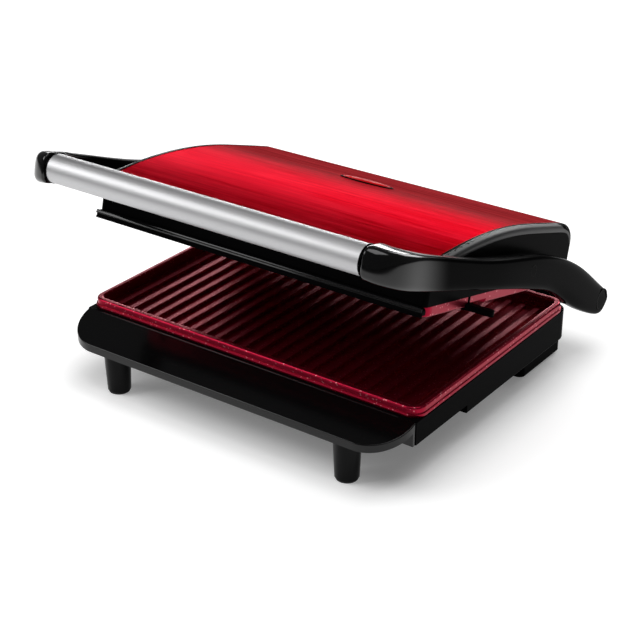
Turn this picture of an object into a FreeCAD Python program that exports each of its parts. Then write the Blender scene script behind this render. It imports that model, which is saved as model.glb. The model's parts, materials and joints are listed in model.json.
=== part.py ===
"""Sandwich press with a hinged handle, a floating lid and two ridged plates.

The frame: X to the right, Y to the back, Z up, the feet stand on Z = 0 and the
origin is the middle of the outline on the table. Lengths are millimetres.
The lid and the handle are drawn closed, and then turned about the rear hinge
by the opening angle, so the rest pose is the half-open press.
"""
import FreeCAD, Part
import os
import re

import Sketcher

V = FreeCAD.Vector
# Coordinates that lie nearer than this count as one
CLOSE = 0.001
doc = FreeCAD.newDocument("sandwich_press")

# Driving dimensions
SIZES = {
    # Cooking plates
    "plate_width": 300,
    "plate_depth": 210,
    "plate_centre_y": 3.47,
    "plate_corner": 10,
    "rim_height": 8,
    "rim_wall": 5,
    "rim_round": 1.6,
    "basin_depth": 9,
    "slab_thickness": 4,
    "plate_seat": 1.6,
    "plate_clearance": 1,
    "ridge_width": 4.2,
    "ridge_height": 2.6,
    "ridge_count": 23,
    "ridge_margin": 9,
    "boss_radius": 4.5,
    "boss_drop": 4.5,
    "upper_rim_height": 9,
    "upper_basin_depth": 5,
    "side_rim_height": 8,
    "side_rim_inset": 1.2,
    # Base tray
    "base_margin": 1,
    "base_front_margin": 3.4,
    "base_rear_margin": 6.3,
    "base_corner": 12,
    "base_bottom_z": 26,
    "base_height": 24.5,
    "base_floor": 2.6,
    "base_edge": 1.2,
    "undercut_height": 7,
    "undercut_depth": 10,
    "undercut_length": 68,
    "vent_length": 36,
    "vent_width": 4,
    "vent_count": 9,
    "vent_pitch": 14,
    # Front apron, legs and feet
    "apron_reach": 32.2,
    "apron_drop": 10.1,
    "apron_corner": 30,
    "apron_lip": 6,
    "apron_web": 3,
    "apron_inset": 0.6,
    "apron_edge": 0.8,
    "leg_x": 106.4,
    "leg_setback": 17.7,
    "leg_foot_radius": 9,
    "leg_top_radius": 11,
    "gusset_wall": 3,
    "gusset_drop": 22,
    "pad_height": 2,
    "pad_radius": 8,
    "rear_foot_x": 124,
    "rear_foot_width": 26,
    "rear_foot_length": 63,
    "rear_foot_reach": 18,
    "rear_foot_round": 5,
    # Heating parts
    "element_radius": 3.3,
    "element_inset": 33,
    "element_bend": 22,
    "element_mouth": 22,
    "touch_gap": 0.1,
    "clamp_width": 9,
    "clamp_wall": 2.2,
    "shield_thickness": 0.8,
    "shield_lip": 4,
    "shield_margin": 8,
    "shield_gap": 2.6,
    "can_radius": 7,
    "can_height": 4.6,
    "can_flange_radius": 10,
    "can_flange": 1.5,
    "fuse_radius": 2.2,
    "fuse_length": 18,
    "fuse_shift": 40,
    "fuse_wall": 1.2,
    # Electrical inlet
    "gland_x": -60,
    "gland_z": 37,
    "gland_bore": 3.8,
    "gland_neck": 6.2,
    "gland_ring_radius": 8,
    "gland_flange_radius": 10,
    "gland_flange": 3,
    "block_length": 46,
    "block_width": 10,
    "block_height": 10,
    "block_hole": 2,
    "block_ways": 3,
    # Screws
    "screw_radius": 1.8,
    "screw_head_radius": 3.4,
    "screw_head": 2.4,
    "screw_bite": 5.5,
    "upper_bite": 3,
    "screw_clearance": 0.25,
    "post_radius": 5,
    "post_web": 5,
    # Rear hinge
    "hinge_reach": 28.1,
    "hinge_drop": 1.5,
    "pin_radius": 3,
    "press_clearance": 0.02,
    "running_clearance": 0.06,
    "knuckle_radius": 11.5,
    "bracket_x": 106,
    "bracket_width": 21,
    "bracket_knuckle": 8.5,
    "bracket_foot": 20,
    "bracket_shoulder": 4.5,
    "washer_thickness": 1.4,
    "washer_radius": 7,
    "face_gap": 0.3,
    "pin_inset": 1.5,
    "open_angle": 14,
    # Lid
    "close_gap": 4.5,
    "plate_drop": 3.2,
    "lid_inset": 4.3,
    "lid_front_overhang": 5.8,
    "lid_rear_overhang": 4.9,
    "lid_corner": 2,
    "flange_height": 5,
    "flange_lip": 3.5,
    "flange_round": 2.8,
    "skirt_height": 20.8,
    "frame_wall": 2.4,
    "deck_height": 15.8,
    "deck_thickness": 2.5,
    "end_cap_thickness": 6,
    "fit_gap": 0.2,
    "cover_thickness": 1.5,
    "cover_front_height": 32.2,
    "cover_crown_height": 52.4,
    "cover_rear_height": 42.4,
    "cover_crown_share": 0.376,
    "crown_radius": 400,
    "cover_front_round": 4,
    "cover_rear_round": 16,
    "end_cap_roll": 4.5,
    "lens_length": 44,
    "lens_width": 12,
    "lens_share": 0.652,
    "lens_proud": 1.2,
    "lens_drop": 7,
    "lens_flange": 2,
    "lens_flange_wall": 1.2,
    "lens_slack": 0.8,
    "lens_round": 0.9,
    "lamp_radius": 2.6,
    "lamp_height": 12,
    "lamp_spacing": 26,
    "board_thickness": 1.6,
    "board_margin": 3,
    # Handle and arms
    "handle_reach": 59.2,
    "handle_height": 42.4,
    "tube_radius": 10.8,
    "tube_wall": 1.2,
    "tube_half_length": 136,
    "collar_width": 1.6,
    "collar_proud": 0.4,
    "elbow_wall": 0.9,
    "elbow_outer": 24,
    "elbow_flare": 6.5,
    "flare_share": 0.45,
    "flare_round": 160,
    "elbow_inner": 15,
    "elbow_stub": 3,
    "spigot_length": 12,
    "arm_gap": 6.3,
    "arm_thickness": 13,
    "arm_round": 5,
    "arm_top_round": 300,
    "arm_shoulder_round": 200,
    "arm_heel_round": 170,
    "arm_tail_round": 100,
    "arm_under_round": 70,
    "arm_belly_round": 140,
    "arm_end_round": 5,
    "channel_depth": 8,
    "channel_margin": 2.5,
    "channel_end_margin": 10,
    "arm_cover_wall": 2.2,
    "arm_cover_start_share": 0.14,
    "arm_cover_end_share": 0.46,
    "arm_cover_start_rise_share": 0.883,
    "arm_cover_end_rise_share": 0.73,
    "arm_cover_half_height": 6.5,
    "arm_cover_corner": 3,
    "small_screw_radius": 1.3,
    "small_head_radius": 2.6,
    "small_head": 1.2,
    "small_bite": 5,
    "pivot_share": 0.572,
    "pivot_rise": 39.2,
    "pivot_radius": 3,
    "pivot_seat": 7,
    "cap_radius": 4.6,
    "cap_thickness": 1.6,
    "hinge_cap_radius": 9.2,
    # Swivel finger under the right edge of the lid
    "finger_inset": 2.5,
    "finger_share": 0.296,
    "finger_boss": 4.4,
    "finger_width": 6,
    "finger_thickness": 4.5,
    "finger_reach": 21.8,
    "finger_pin_radius": 2,
    "finger_head": 1.1,
    # Length by which every cutting shape runs past what it cuts
    "overrun": 5,
}

# Sizes and places that follow from the driving dimensions
DERIVED = {
    "plate_half": "plate_width / 2",
    "plate_front_y": "plate_centre_y - plate_depth / 2",
    "plate_rear_y": "plate_centre_y + plate_depth / 2",
    "base_top_z": "base_bottom_z + base_height",
    "base_floor_z": "base_bottom_z + base_floor",
    "undercut_z": "base_bottom_z + undercut_height",
    "base_half": "plate_half + base_margin",
    "base_front_y": "plate_front_y - base_front_margin",
    "base_rear_y": "plate_rear_y + base_rear_margin",
    "rim_top_z": "base_top_z + rim_height",
    "basin_z": "rim_top_z - basin_depth",
    "slab_z": "basin_z - slab_thickness",
    "slab_inset": "plate_seat + plate_clearance",
    "basin_half": "plate_half - rim_wall",
    "basin_half_depth": "plate_depth / 2 - rim_wall",
    "ridge_half": "basin_half_depth - ridge_margin",
    "ridge_reach": "basin_half - ridge_margin - ridge_width / 2",
    "element_x": "plate_half - element_inset",
    "element_y": "plate_depth / 2 - element_inset",
    "element_z": "slab_z - touch_gap - element_radius",
    "post_x": "element_x - element_bend",
    "post_y": "element_y - element_bend",
    "shield_z": "element_z - element_radius - shield_gap - shield_thickness",
    "shield_half": "element_x + element_radius + shield_margin",
    "shield_half_depth": "element_y + element_radius + shield_margin",
    "screw_seat_z": "shield_z - post_web",
    "leg_y": "base_front_y - leg_setback",
    "apron_front_y": "base_front_y - apron_reach",
    "apron_half": "base_half - apron_inset",
    "apron_slope": "apron_drop / apron_reach",
    "leg_top_z": "base_top_z - apron_lip - leg_setback * apron_slope",
    "rear_foot_y": "base_rear_y + rear_foot_reach - rear_foot_length / 2",
    "wall_rear_y": "plate_rear_y - plate_seat",
    "hinge_y": "base_rear_y + hinge_reach",
    "hinge_z": "base_top_z - hinge_drop",
    "bracket_end": "bracket_x + bracket_width",
    "knuckle_x": "bracket_end + washer_thickness + 2 * face_gap",
    "flange_z": "rim_top_z + close_gap + plate_drop",
    "flange_top_z": "flange_z + flange_height",
    "skirt_top_z": "flange_top_z + skirt_height",
    "deck_z": "flange_z + deck_height",
    "lid_half": "plate_half - lid_inset",
    "lid_front_y": "plate_front_y - lid_front_overhang",
    "lid_rear_y": "plate_rear_y + lid_rear_overhang",
    "skirt_front_y": "lid_front_y + flange_lip",
    "skirt_rear_y": "lid_rear_y - flange_lip",
    "skirt_depth": "skirt_rear_y - skirt_front_y",
    "cover_half": "lid_half - end_cap_thickness - fit_gap",
    "frame_inner": "cover_half - frame_wall",
    "upper_half": "frame_inner - plate_clearance / 2",
    "upper_front_y": "skirt_front_y + frame_wall + plate_clearance / 2",
    "upper_rear_y": "skirt_rear_y - frame_wall - plate_clearance / 2",
    "upper_centre_y": "(upper_front_y + upper_rear_y) / 2",
    "upper_rim_z": "flange_z - plate_drop",
    "upper_slab_z": "upper_rim_z + upper_rim_height",
    "side_rim_x": "lid_half - side_rim_inset",
    "side_rim_top_z": "upper_rim_z + side_rim_height",
    "lid_side_z": "side_rim_top_z + fit_gap",
    "upper_element_z": "upper_slab_z + touch_gap + element_radius",
    "upper_shield_z": "deck_z - touch_gap - shield_thickness",
    "crown_y": "skirt_front_y + skirt_depth * cover_crown_share",
    "crown_z": "flange_z + cover_crown_height",
    "cover_front_z": "flange_z + cover_front_height",
    "cover_rear_z": "flange_z + cover_rear_height",
    # The roundings of the arch end where the straight stretch beside them does
    "crown_run": "crown_y - skirt_front_y",
    "crown_front_slope": "(crown_z - cover_front_z) / crown_run",
    "crown_rear_slope": "(crown_z - cover_rear_z) / (skirt_rear_y - crown_y)",
    "crown_bend": "(crown_front_slope + crown_rear_slope) / 2",
    "arch_front_round": "min(cover_front_round; cover_front_z - skirt_top_z - fit_gap)",
    "arch_crown_round": "min(crown_radius; (crown_run - arch_front_round) / crown_bend)",
    "arch_rear_round": "min(cover_rear_round; cover_rear_z - skirt_top_z - fit_gap)",
    "lens_y": "skirt_front_y + skirt_depth * lens_share",
    "lens_fall": "(crown_z - cover_rear_z) * (lens_y - crown_y) / (skirt_rear_y - crown_y)",
    "lens_top_z": "crown_z - lens_fall + lens_proud",
    "lens_seat_z": "lens_top_z - lens_proud - cover_thickness - lens_slack",
    "tube_y": "lid_front_y - handle_reach",
    "tube_z": "flange_z + handle_height",
    "elbow_radius": "tube_radius + elbow_wall",
    "elbow_front_y": "tube_y - elbow_radius",
    # The arms clear the lid, and the elbows still turn outside the tube's ends
    "elbow_least_x": "tube_half_length + elbow_stub + elbow_outer - arm_thickness",
    "arm_inner_x": "max(lid_half + arm_gap; elbow_least_x)",
    "arm_outer_x": "arm_inner_x + arm_thickness",
    "arm_span": "hinge_y - tube_y",
    "arm_fall": "tube_z - hinge_z",
    "pivot_y": "tube_y + arm_span * pivot_share",
    "pivot_z": "hinge_z + pivot_rise",
    "finger_x": "lid_half - finger_inset",
    "finger_y": "skirt_front_y + skirt_depth * finger_share",
    "finger_top_z": "flange_z - face_gap",
    "finger_sweep": "finger_reach + finger_width / 2 + face_gap",
}

# Outline points as shares of the arm's length from the tube and of its height above the hinge
ARM_TOP_SHARES = ((0.377, 0.893), (0.629, 0.842), (0.845, 0.594))
ARM_TOP_ROUNDS = ("arm_top_round", "arm_shoulder_round", "arm_heel_round")
ARM_UNDER_SHARES = ((0.874, -0.059), (0.706, 0.323), (0.344, 0.557))
ARM_UNDER_ROUNDS = ("arm_tail_round", "arm_under_round", "arm_belly_round")
# End corners of the arm as shares of the knuckle's radius, from the hinge axis
ARM_END_SHARES = ((1.32, 0.36), (1.13, -0.78), (0.2, -1.17))

sheet = doc.addObject("Spreadsheet::Sheet", "Sizes")
for line, (alias, number) in enumerate(SIZES.items(), start=1):
    sheet.set(f"A{line}", alias)
    sheet.set(f"B{line}", str(number))
    sheet.setAlias(f"B{line}", alias)
doc.recompute()

nodes = {}


def expand(text):
    """An expression on the sheet, from one written with the plain names above."""
    def written_out(match):
        word = match.group(0)
        if word in SIZES:
            return "Sizes." + word
        if word in DERIVED:
            return "(" + expand(DERIVED[word]) + ")"
        return word
    return re.sub(r"[A-Za-z_]\w*", written_out, text)


def value(text):
    """The present number behind an expression."""
    return float(sheet.evalExpression(expand(text)))


def bind(obj, prop, text):
    """Tie a property of an object to the sheet."""
    obj.setExpression(prop, expand(text))


def new_body(label):
    """An empty body that is written out under its label."""
    body = doc.addObject("PartDesign::Body", label)
    body.Label = label
    body.AllowCompound = True
    nodes[label] = body
    return body


def turn(body):
    """Turn a piece that is drawn closed about the rear hinge, to the half-open rest pose."""
    body.Placement = FreeCAD.Placement(V(0, 0, 0), FreeCAD.Rotation(V(-1, 0, 0), 1))
    bind(body, "Placement.Rotation.Angle", "open_angle")
    bind(body, "Placement.Base.y",
         "hinge_y - hinge_y * cos(open_angle) - hinge_z * sin(open_angle)")
    bind(body, "Placement.Base.z",
         "hinge_z + hinge_y * sin(open_angle) - hinge_z * cos(open_angle)")


def sketch_on(body, role, offset):
    """An empty sketch on a plane of the body, moved along the plane's normal."""
    sketch = body.newObject("Sketcher::SketchObject", "sketch")
    plane = next(f for f in body.Origin.OriginFeatures if f.Role == role)
    sketch.AttachmentSupport = [(plane, "")]
    sketch.MapMode = "FlatFace"
    bind(sketch, "AttachmentOffset.Base.z", offset)
    return sketch


def pin_point(sketch, geometry, end, place):
    """Hold a point of a sketch at a place given by two expressions."""
    for axis, text in zip(("DistanceX", "DistanceY"), place):
        rule = Sketcher.Constraint(axis, -1, 1, geometry, end, value(text))
        bind(sketch, f"Constraints[{sketch.addConstraint(rule)}]", text)


def outline(body, points, role="XY_Plane", offset="0"):
    """A closed outline; a point with a third entry is rounded by that radius."""
    sketch = sketch_on(body, role, offset)
    places = [V(value(p[0]), value(p[1]), 0) for p in points]
    sides = []
    for start, end in zip(places, places[1:] + places[:1]):
        sides.append(sketch.addGeometry(Part.LineSegment(start, end), False))
    for side, following in zip(sides, sides[1:] + sides[:1]):
        sketch.addConstraint(Sketcher.Constraint("Coincident", side, 2, following, 1))
    for side, point in zip(sides, points):
        pin_point(sketch, side, 1, point)
    for i, point in enumerate(points):
        if len(point) == 3:
            radius = value(point[2])
            corner = places[i]
            before = corner + (places[i - 1] - corner).normalize() * radius
            after = corner + (places[(i + 1) % len(places)] - corner).normalize() * radius
            first_new = sketch.GeometryCount
            sketch.fillet(sides[i - 1], sides[i], before, after, radius, True, True)
            arc = next(g for g in range(first_new, sketch.GeometryCount)
                       if sketch.Geometry[g].TypeId == "Part::GeomArcOfCircle")
            rule = sketch.addConstraint(Sketcher.Constraint("Radius", arc, radius))
            bind(sketch, f"Constraints[{rule}]", point[2])
    return sketch


def rectangle(body, x, y, corner=None, role="XY_Plane", offset="0"):
    """A rectangle between two pairs of expressions, with rounded corners if asked."""
    corners = ((x[0], y[0]), (x[1], y[0]), (x[1], y[1]), (x[0], y[1]))
    if corner:
        corners = [place + (corner,) for place in corners]
    return outline(body, corners, role, offset)


def circles(body, places, radii, role="XY_Plane", offset="0"):
    """Circles of each radius at each place; two radii make a ring."""
    sketch = sketch_on(body, role, offset)
    for place in places:
        for radius in radii:
            centre = V(value(place[0]), value(place[1]), 0)
            ring = sketch.addGeometry(Part.Circle(centre, V(0, 0, 1), value(radius)), False)
            pin_point(sketch, ring, 3, place)
            rule = sketch.addConstraint(Sketcher.Constraint("Radius", ring, value(radius)))
            bind(sketch, f"Constraints[{rule}]", radius)
    return sketch


def pad(body, sketch, length, back=False, both=False):
    """Grow a sketch into a solid along its normal, against it, or both ways."""
    feature = body.newObject("PartDesign::Pad", "pad")
    feature.Profile = sketch
    bind(feature, "Length", length)
    feature.Reversed = back
    feature.Midplane = both
    doc.recompute()
    return feature


def pocket(body, sketch, length=None, back=False):
    """Cut a sketch out of the body, by a length against its normal or right through."""
    volume = body.Shape.Volume
    feature = body.newObject("PartDesign::Pocket", "pocket")
    feature.Profile = sketch
    if length is None:
        feature.Type = "ThroughAll"
        feature.Midplane = True
    else:
        bind(feature, "Length", length)
        feature.Reversed = back
    doc.recompute()
    if not body.Shape.Volume < volume:
        raise RuntimeError(f"a pocket of {body.Label} cuts nothing")
    return feature


def spin(body, points):
    """A solid of revolution about the body's own upright axis, from radius and height pairs."""
    sketch = outline(body, points, "XZ_Plane")
    feature = body.newObject("PartDesign::Revolution", "spin")
    feature.Profile = sketch
    feature.ReferenceAxis = (sketch, ["V_Axis"])
    doc.recompute()
    return feature


def row_of(body, feature, sketch, length, count):
    """Repeat a feature evenly along the sketch's horizontal axis."""
    pattern = body.newObject("PartDesign::LinearPattern", "row")
    pattern.Originals = [feature]
    pattern.Direction = (sketch, ["H_Axis"])
    bind(pattern, "Length", length)
    bind(pattern, "Occurrences", count)
    body.Tip = pattern
    doc.recompute()
    return pattern


def round_edges(body, test, radius, upright=True):
    """Round the edges whose end points and middle pass a test, with or without upright ones."""
    tip = body.Tip
    names = []
    for i, edge in enumerate(tip.Shape.Edges, start=1):
        ends = [vertex.Point for vertex in edge.Vertexes]
        stands = near(ends[0].x, ends[-1].x) and near(ends[0].y, ends[-1].y)
        if all(test(p) for p in ends + [edge.CenterOfMass]) and (upright or not stands):
            names.append(f"Edge{i}")
    if not names:
        raise RuntimeError(f"no edge of {body.Label} to round")
    feature = body.newObject("PartDesign::Fillet", "rounding")
    feature.Base = (tip, names)
    bind(feature, "Radius", radius)
    doc.recompute()
    return feature


def near(a, b):
    """Whether two coordinates are the same."""
    return abs(a - b) < CLOSE


def mirror(source, label):
    """The left-hand piece of a right-hand one."""
    twin = doc.addObject("Part::Mirroring", label)
    twin.Label = label
    twin.Source = source
    twin.Normal = V(1, 0, 0)
    nodes[label] = twin
    return twin


def four_posts(centre_y):
    """Places of the four screw posts about a plate's middle."""
    return [(f"{sx}post_x", f"{centre_y} {sy} post_y") for sx in ("-", "") for sy in ("-", "+")]


def base_shell():
    """Tray that carries the lower plate, with screw posts, vents and the cord's hole."""
    body = new_body("base_shell")
    pad(body, outline(body, (("-base_half", "base_front_y"), ("base_half", "base_front_y"),
                             ("base_half", "base_rear_y", "base_corner"),
                             ("-base_half", "base_rear_y", "base_corner")), offset="base_bottom_z"),
        "base_height")
    round_edges(body, lambda p: near(p.z, value("base_bottom_z")), "base_edge")
    pocket(body, rectangle(body, ("plate_seat - plate_half", "plate_half - plate_seat"),
                           ("plate_front_y + plate_seat", "wall_rear_y"), "plate_corner",
                           offset="base_top_z"), "base_height - base_floor")
    pad(body, undercut(body, "-base_edge", "undercut_depth + base_floor", "base_floor", "base_floor_z"),
        "undercut_height")
    pocket(body, undercut(body, "overrun", "undercut_depth", "0", "base_bottom_z"), "undercut_height",
           back=True)
    posts = four_posts("plate_centre_y")
    pad(body, circles(body, posts, ["post_radius"], offset="base_floor_z"),
        "shield_z - base_floor_z")
    pocket(body, circles(body, posts, ["screw_head_radius + screw_clearance"],
                         offset="base_bottom_z"), "screw_seat_z - base_bottom_z", back=True)
    pocket(body, circles(body, posts, ["screw_radius + screw_clearance"]))
    vent = rectangle(body, ("-vent_pitch * (vent_count - 1) / 2 - vent_width / 2",
                            "-vent_pitch * (vent_count - 1) / 2 + vent_width / 2"),
                     ("plate_centre_y - vent_length / 2", "plate_centre_y + vent_length / 2"),
                     offset="base_floor_z")
    slot = pocket(body, vent, "base_floor")
    row_of(body, slot, vent, "vent_pitch * (vent_count - 1)", "vent_count")
    rear = "-base_rear_y"
    depth = "base_rear_y - wall_rear_y + overrun"
    pocket(body, circles(body, [("gland_x", "gland_z")], ["gland_neck + screw_clearance"],
                         "XZ_Plane", rear), depth, back=True)
    pocket(body, circles(body, bracket_screws(), ["screw_radius + screw_clearance"],
                         "XZ_Plane", rear), depth, back=True)


def undercut(body, outward, inward, longer, offset):
    """Strip round the front of the tray and along its sides, under the edge that shows."""
    outer = f"(base_half + {outward})"
    inner = f"(base_half - ({inward}))"
    ahead = f"base_front_y - ({outward})"
    front = f"base_front_y + {inward}"
    rear = f"base_front_y + undercut_length + {longer}"
    return outline(body, ((f"-{outer}", ahead), (outer, ahead), (outer, rear), (inner, rear), (inner, front),
                          (f"-{inner}", front), (f"-{inner}", rear), (f"-{outer}", rear)), offset=offset)


def bracket_screws():
    """Places of the screws that hold the hinge brackets, in the rear wall's plane."""
    middle = "(bracket_x + bracket_width / 2)"
    high = "hinge_z - bracket_shoulder - screw_head_radius"
    low = "hinge_z - bracket_foot + screw_head_radius + screw_clearance"
    return [(f"{side}{middle}", z) for side in ("-", "") for z in (low, high)]


def front_apron():
    """Sloping front panel with a thin lip and a web against the tray."""
    body = new_body("front_apron")
    low = "base_top_z - apron_drop"
    web = "base_front_y - apron_web"
    pad(body, outline(body, (("base_front_y", "base_top_z"), ("apron_front_y", low),
                             ("apron_front_y", low + " - apron_lip"),
                             (web, "base_top_z - apron_web * apron_slope - apron_lip"),
                             (web, "undercut_z"), ("base_front_y", "undercut_z")), "YZ_Plane"),
        "2 * apron_half", both=True)
    front = value("apron_front_y")
    round_edges(body, lambda p: near(p.y, front) and near(abs(p.x), value("apron_half")),
                "apron_corner")
    lip = value(low)
    round_edges(body, lambda p: near(p.y, front) and near(p.z, lip), "apron_edge")


def front_leg():
    """Tapered front leg with a rib back to the apron's web."""
    body = new_body("front_leg_right")
    bind(body, "Placement.Base.x", "leg_x")
    bind(body, "Placement.Base.y", "leg_y")
    spin(body, (("0", "pad_height"), ("leg_foot_radius", "pad_height"),
                ("leg_top_radius", "base_top_z"), ("0", "base_top_z")))
    reach = "(leg_top_radius + overrun)"
    pocket(body, outline(body, ((f"-{reach}", f"leg_top_z - {reach} * apron_slope"),
                                (reach, f"leg_top_z + {reach} * apron_slope"),
                                (reach, "base_top_z + overrun"),
                                (f"-{reach}", "base_top_z + overrun")), "YZ_Plane"))
    rib = "(leg_setback - apron_web)"
    pad(body, outline(body, (("0", "leg_top_z - gusset_drop"), (rib, "leg_top_z - gusset_drop / 2"),
                             (rib, f"leg_top_z + {rib} * apron_slope"), ("0", "leg_top_z")),
                      "YZ_Plane"), "gusset_wall", both=True)
    mirror(body, "front_leg_left")


def foot_pads():
    """Soft pads under the legs and the rear feet."""
    body = new_body("front_pads")
    pad(body, circles(body, [("-leg_x", "leg_y"), ("leg_x", "leg_y")], ["pad_radius"]),
        "pad_height")
    body = new_body("rear_pads")
    pad(body, circles(body, [("-rear_foot_x", "rear_foot_y"), ("rear_foot_x", "rear_foot_y")],
                      ["pad_radius"]), "pad_height")


def rear_foot():
    """Block foot under the rear corner of the tray."""
    body = new_body("rear_foot_right")
    pad(body, rectangle(body, ("rear_foot_x - rear_foot_width / 2", "rear_foot_x + rear_foot_width / 2"),
                        ("rear_foot_y - rear_foot_length / 2", "rear_foot_y + rear_foot_length / 2"),
                        "rear_foot_round", offset="pad_height"), "base_bottom_z - pad_height")
    mirror(body, "rear_foot_left")


def ridges(body, centre_y, half, reach, z, back):
    """Grill ridges across the floor of a plate's basin."""
    first = rectangle(body, (f"-{reach} - ridge_width / 2", f"ridge_width / 2 - {reach}"),
                      (f"{centre_y} - {half}", f"{centre_y} + {half}"), offset=z)
    ridge = pad(body, first, "ridge_height", back)
    row_of(body, ridge, first, f"2 * {reach}", "ridge_count")


def lower_plate():
    """Ridged plate with a raised rim, hung in the tray by its rim."""
    body = new_body("lower_plate")
    pad(body, rectangle(body, ("-plate_half", "plate_half"), ("plate_front_y", "plate_rear_y"),
                        "plate_corner", offset="base_top_z"), "rim_height")
    pad(body, rectangle(body, ("slab_inset - plate_half", "plate_half - slab_inset"),
                        ("plate_front_y + slab_inset", "plate_rear_y - slab_inset"),
                        "plate_corner - slab_inset", offset="slab_z"), "base_top_z - slab_z")
    pocket(body, rectangle(body, ("-basin_half", "basin_half"),
                           ("plate_centre_y - basin_half_depth", "plate_centre_y + basin_half_depth"),
                           "plate_corner - rim_wall", offset="rim_top_z"), "basin_depth")
    round_edges(body, lambda p: near(p.z, value("rim_top_z")), "rim_round")
    ridges(body, "plate_centre_y", "ridge_half", "ridge_reach", "basin_z", False)
    posts = four_posts("plate_centre_y")
    boss_z = "slab_z - boss_drop"
    pad(body, circles(body, posts, ["boss_radius"], offset=boss_z), "boss_drop")
    pocket(body, circles(body, posts, ["screw_radius + press_clearance"], offset=boss_z),
           "screw_bite", back=True)


def upper_plate():
    """Ridged plate that faces down from the lid."""
    body = new_body("upper_plate")
    turn(body)
    pad(body, rectangle(body, ("-upper_half", "upper_half"), ("upper_front_y", "upper_rear_y"),
                        "plate_corner", offset="upper_rim_z"), "upper_rim_height")
    pad(body, rectangle(body, ("-side_rim_x", "side_rim_x"), ("upper_front_y", "upper_rear_y"),
                        "plate_corner", offset="upper_rim_z"), "side_rim_height")
    half = "upper_half - rim_wall"
    pocket(body, rectangle(body, (f"-({half})", half),
                           ("upper_front_y + rim_wall", "upper_rear_y - rim_wall"),
                           "plate_corner - rim_wall", offset="upper_rim_z"),
           "upper_basin_depth", back=True)
    round_edges(body, lambda p: near(p.z, value("upper_rim_z")), "rim_round")
    ridges(body, "upper_centre_y", "((upper_rear_y - upper_front_y) / 2 - rim_wall - ridge_margin)",
           "(upper_half - rim_wall - ridge_margin - ridge_width / 2)",
           "upper_rim_z + upper_basin_depth", True)
    pocket(body, circles(body, four_posts("upper_centre_y"), ["screw_radius + press_clearance"],
                         offset="upper_slab_z"), "upper_bite")
    pocket(body, rectangle(body, ("finger_x - finger_boss - face_gap", "lid_half + overrun"),
                           ("finger_y - finger_boss - face_gap", "finger_y + finger_sweep"),
                           offset="upper_rim_z"), "flange_z - upper_rim_z", back=True)
    pocket(body, circles(body, [("finger_x", "finger_y")], ["finger_pin_radius + press_clearance"],
                         offset="upper_rim_z"), "side_rim_height", back=True)


def element(label, centre_y, z):
    """Tubular heating element bent into a loop that is open at the back."""
    body = new_body(label)
    rear = f"{centre_y} + element_y"
    front = f"{centre_y} - element_y"
    path = outline(body, (("-element_mouth", rear), ("-element_x", rear, "element_bend"),
                          ("-element_x", front, "element_bend"), ("element_x", front, "element_bend"),
                          ("element_x", rear, "element_bend"), ("element_mouth", rear)), offset=z)
    closing = next(i for i, line in enumerate(path.Geometry) if line.TypeId == "Part::GeomLineSegment"
                   and near(line.length(), value("2 * element_mouth")))
    path.toggleConstruction(closing)
    section = circles(body, [(rear, z)], ["element_radius"], "YZ_Plane", "-element_mouth")
    feature = body.newObject("PartDesign::AdditivePipe", "pipe")
    feature.Profile = section
    feature.Spine = path
    doc.recompute()
    return body


def clamps(label, centre_y, element_z, seat_z):
    """Three straps that press a heating element against its plate."""
    body = new_body(label)
    back = value(seat_z) > value(element_z)
    reach = "element_radius + clamp_wall"
    height = "2 * element_radius + touch_gap + clamp_wall"
    for x, y, along in (("-element_x", centre_y, "Y"), ("element_x", centre_y, "Y"),
                        ("0", f"{centre_y} - element_y", "X")):
        half_x = reach if along == "Y" else "clamp_width / 2"
        half_y = "clamp_width / 2" if along == "Y" else reach
        pad(body, rectangle(body, (f"{x} - ({half_x})", f"{x} + {half_x}"),
                            (f"{y} - ({half_y})", f"{y} + {half_y}"), offset=seat_z), height, back)
    hole = ["element_radius + running_clearance"]
    pocket(body, circles(body, [("-element_x", element_z), ("element_x", element_z)], hole, "XZ_Plane"))
    pocket(body, circles(body, [(f"{centre_y} - element_y", element_z)], hole, "YZ_Plane"))
    return body


def shield(label, centre_y, z, back):
    """Thin reflector pan behind a heating element."""
    body = new_body(label)
    x = ("-shield_half", "shield_half")
    y = (f"{centre_y} - shield_half_depth", f"{centre_y} + shield_half_depth")
    inner_x = ("shield_thickness - shield_half", "shield_half - shield_thickness")
    inner_y = (f"{y[0]} + shield_thickness", f"{y[1]} - shield_thickness")
    pad(body, rectangle(body, x, y, "element_bend", offset=z), "shield_lip", back)
    far = f"{z} - shield_lip" if back else f"{z} + shield_lip"
    pocket(body, rectangle(body, inner_x, inner_y, "element_bend - shield_thickness", offset=far),
           "shield_lip - shield_thickness", back)
    pocket(body, circles(body, four_posts(centre_y), ["post_radius + fit_gap"]))
    return body


def thermostat(label, centre_y, z, back):
    """Flanged bimetal can seated on the back of a plate."""
    body = new_body(label)
    place = [("0", centre_y)]
    pad(body, circles(body, place, ["can_flange_radius"], offset=z), "can_flange", back)
    pad(body, circles(body, place, ["can_radius"], offset=z), "can_flange + can_height", back)
    return body


def thermal_fuse():
    """Fuse cartridge in a saddle under the lower plate."""
    body = new_body("thermal_fuse")
    y = "(plate_centre_y + fuse_shift)"
    axis_z = "(slab_z - fuse_wall - fuse_radius)"
    half = "(fuse_radius + fuse_wall)"
    pad(body, rectangle(body, (f"{y} - {half}", f"{y} + {half}"), (f"{axis_z} - {half}", "slab_z"),
                        "fuse_wall / 2", "YZ_Plane"), "fuse_length / 2", both=True)
    pad(body, circles(body, [(y, axis_z)], ["fuse_radius"], "YZ_Plane"), "fuse_length", both=True)


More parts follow.
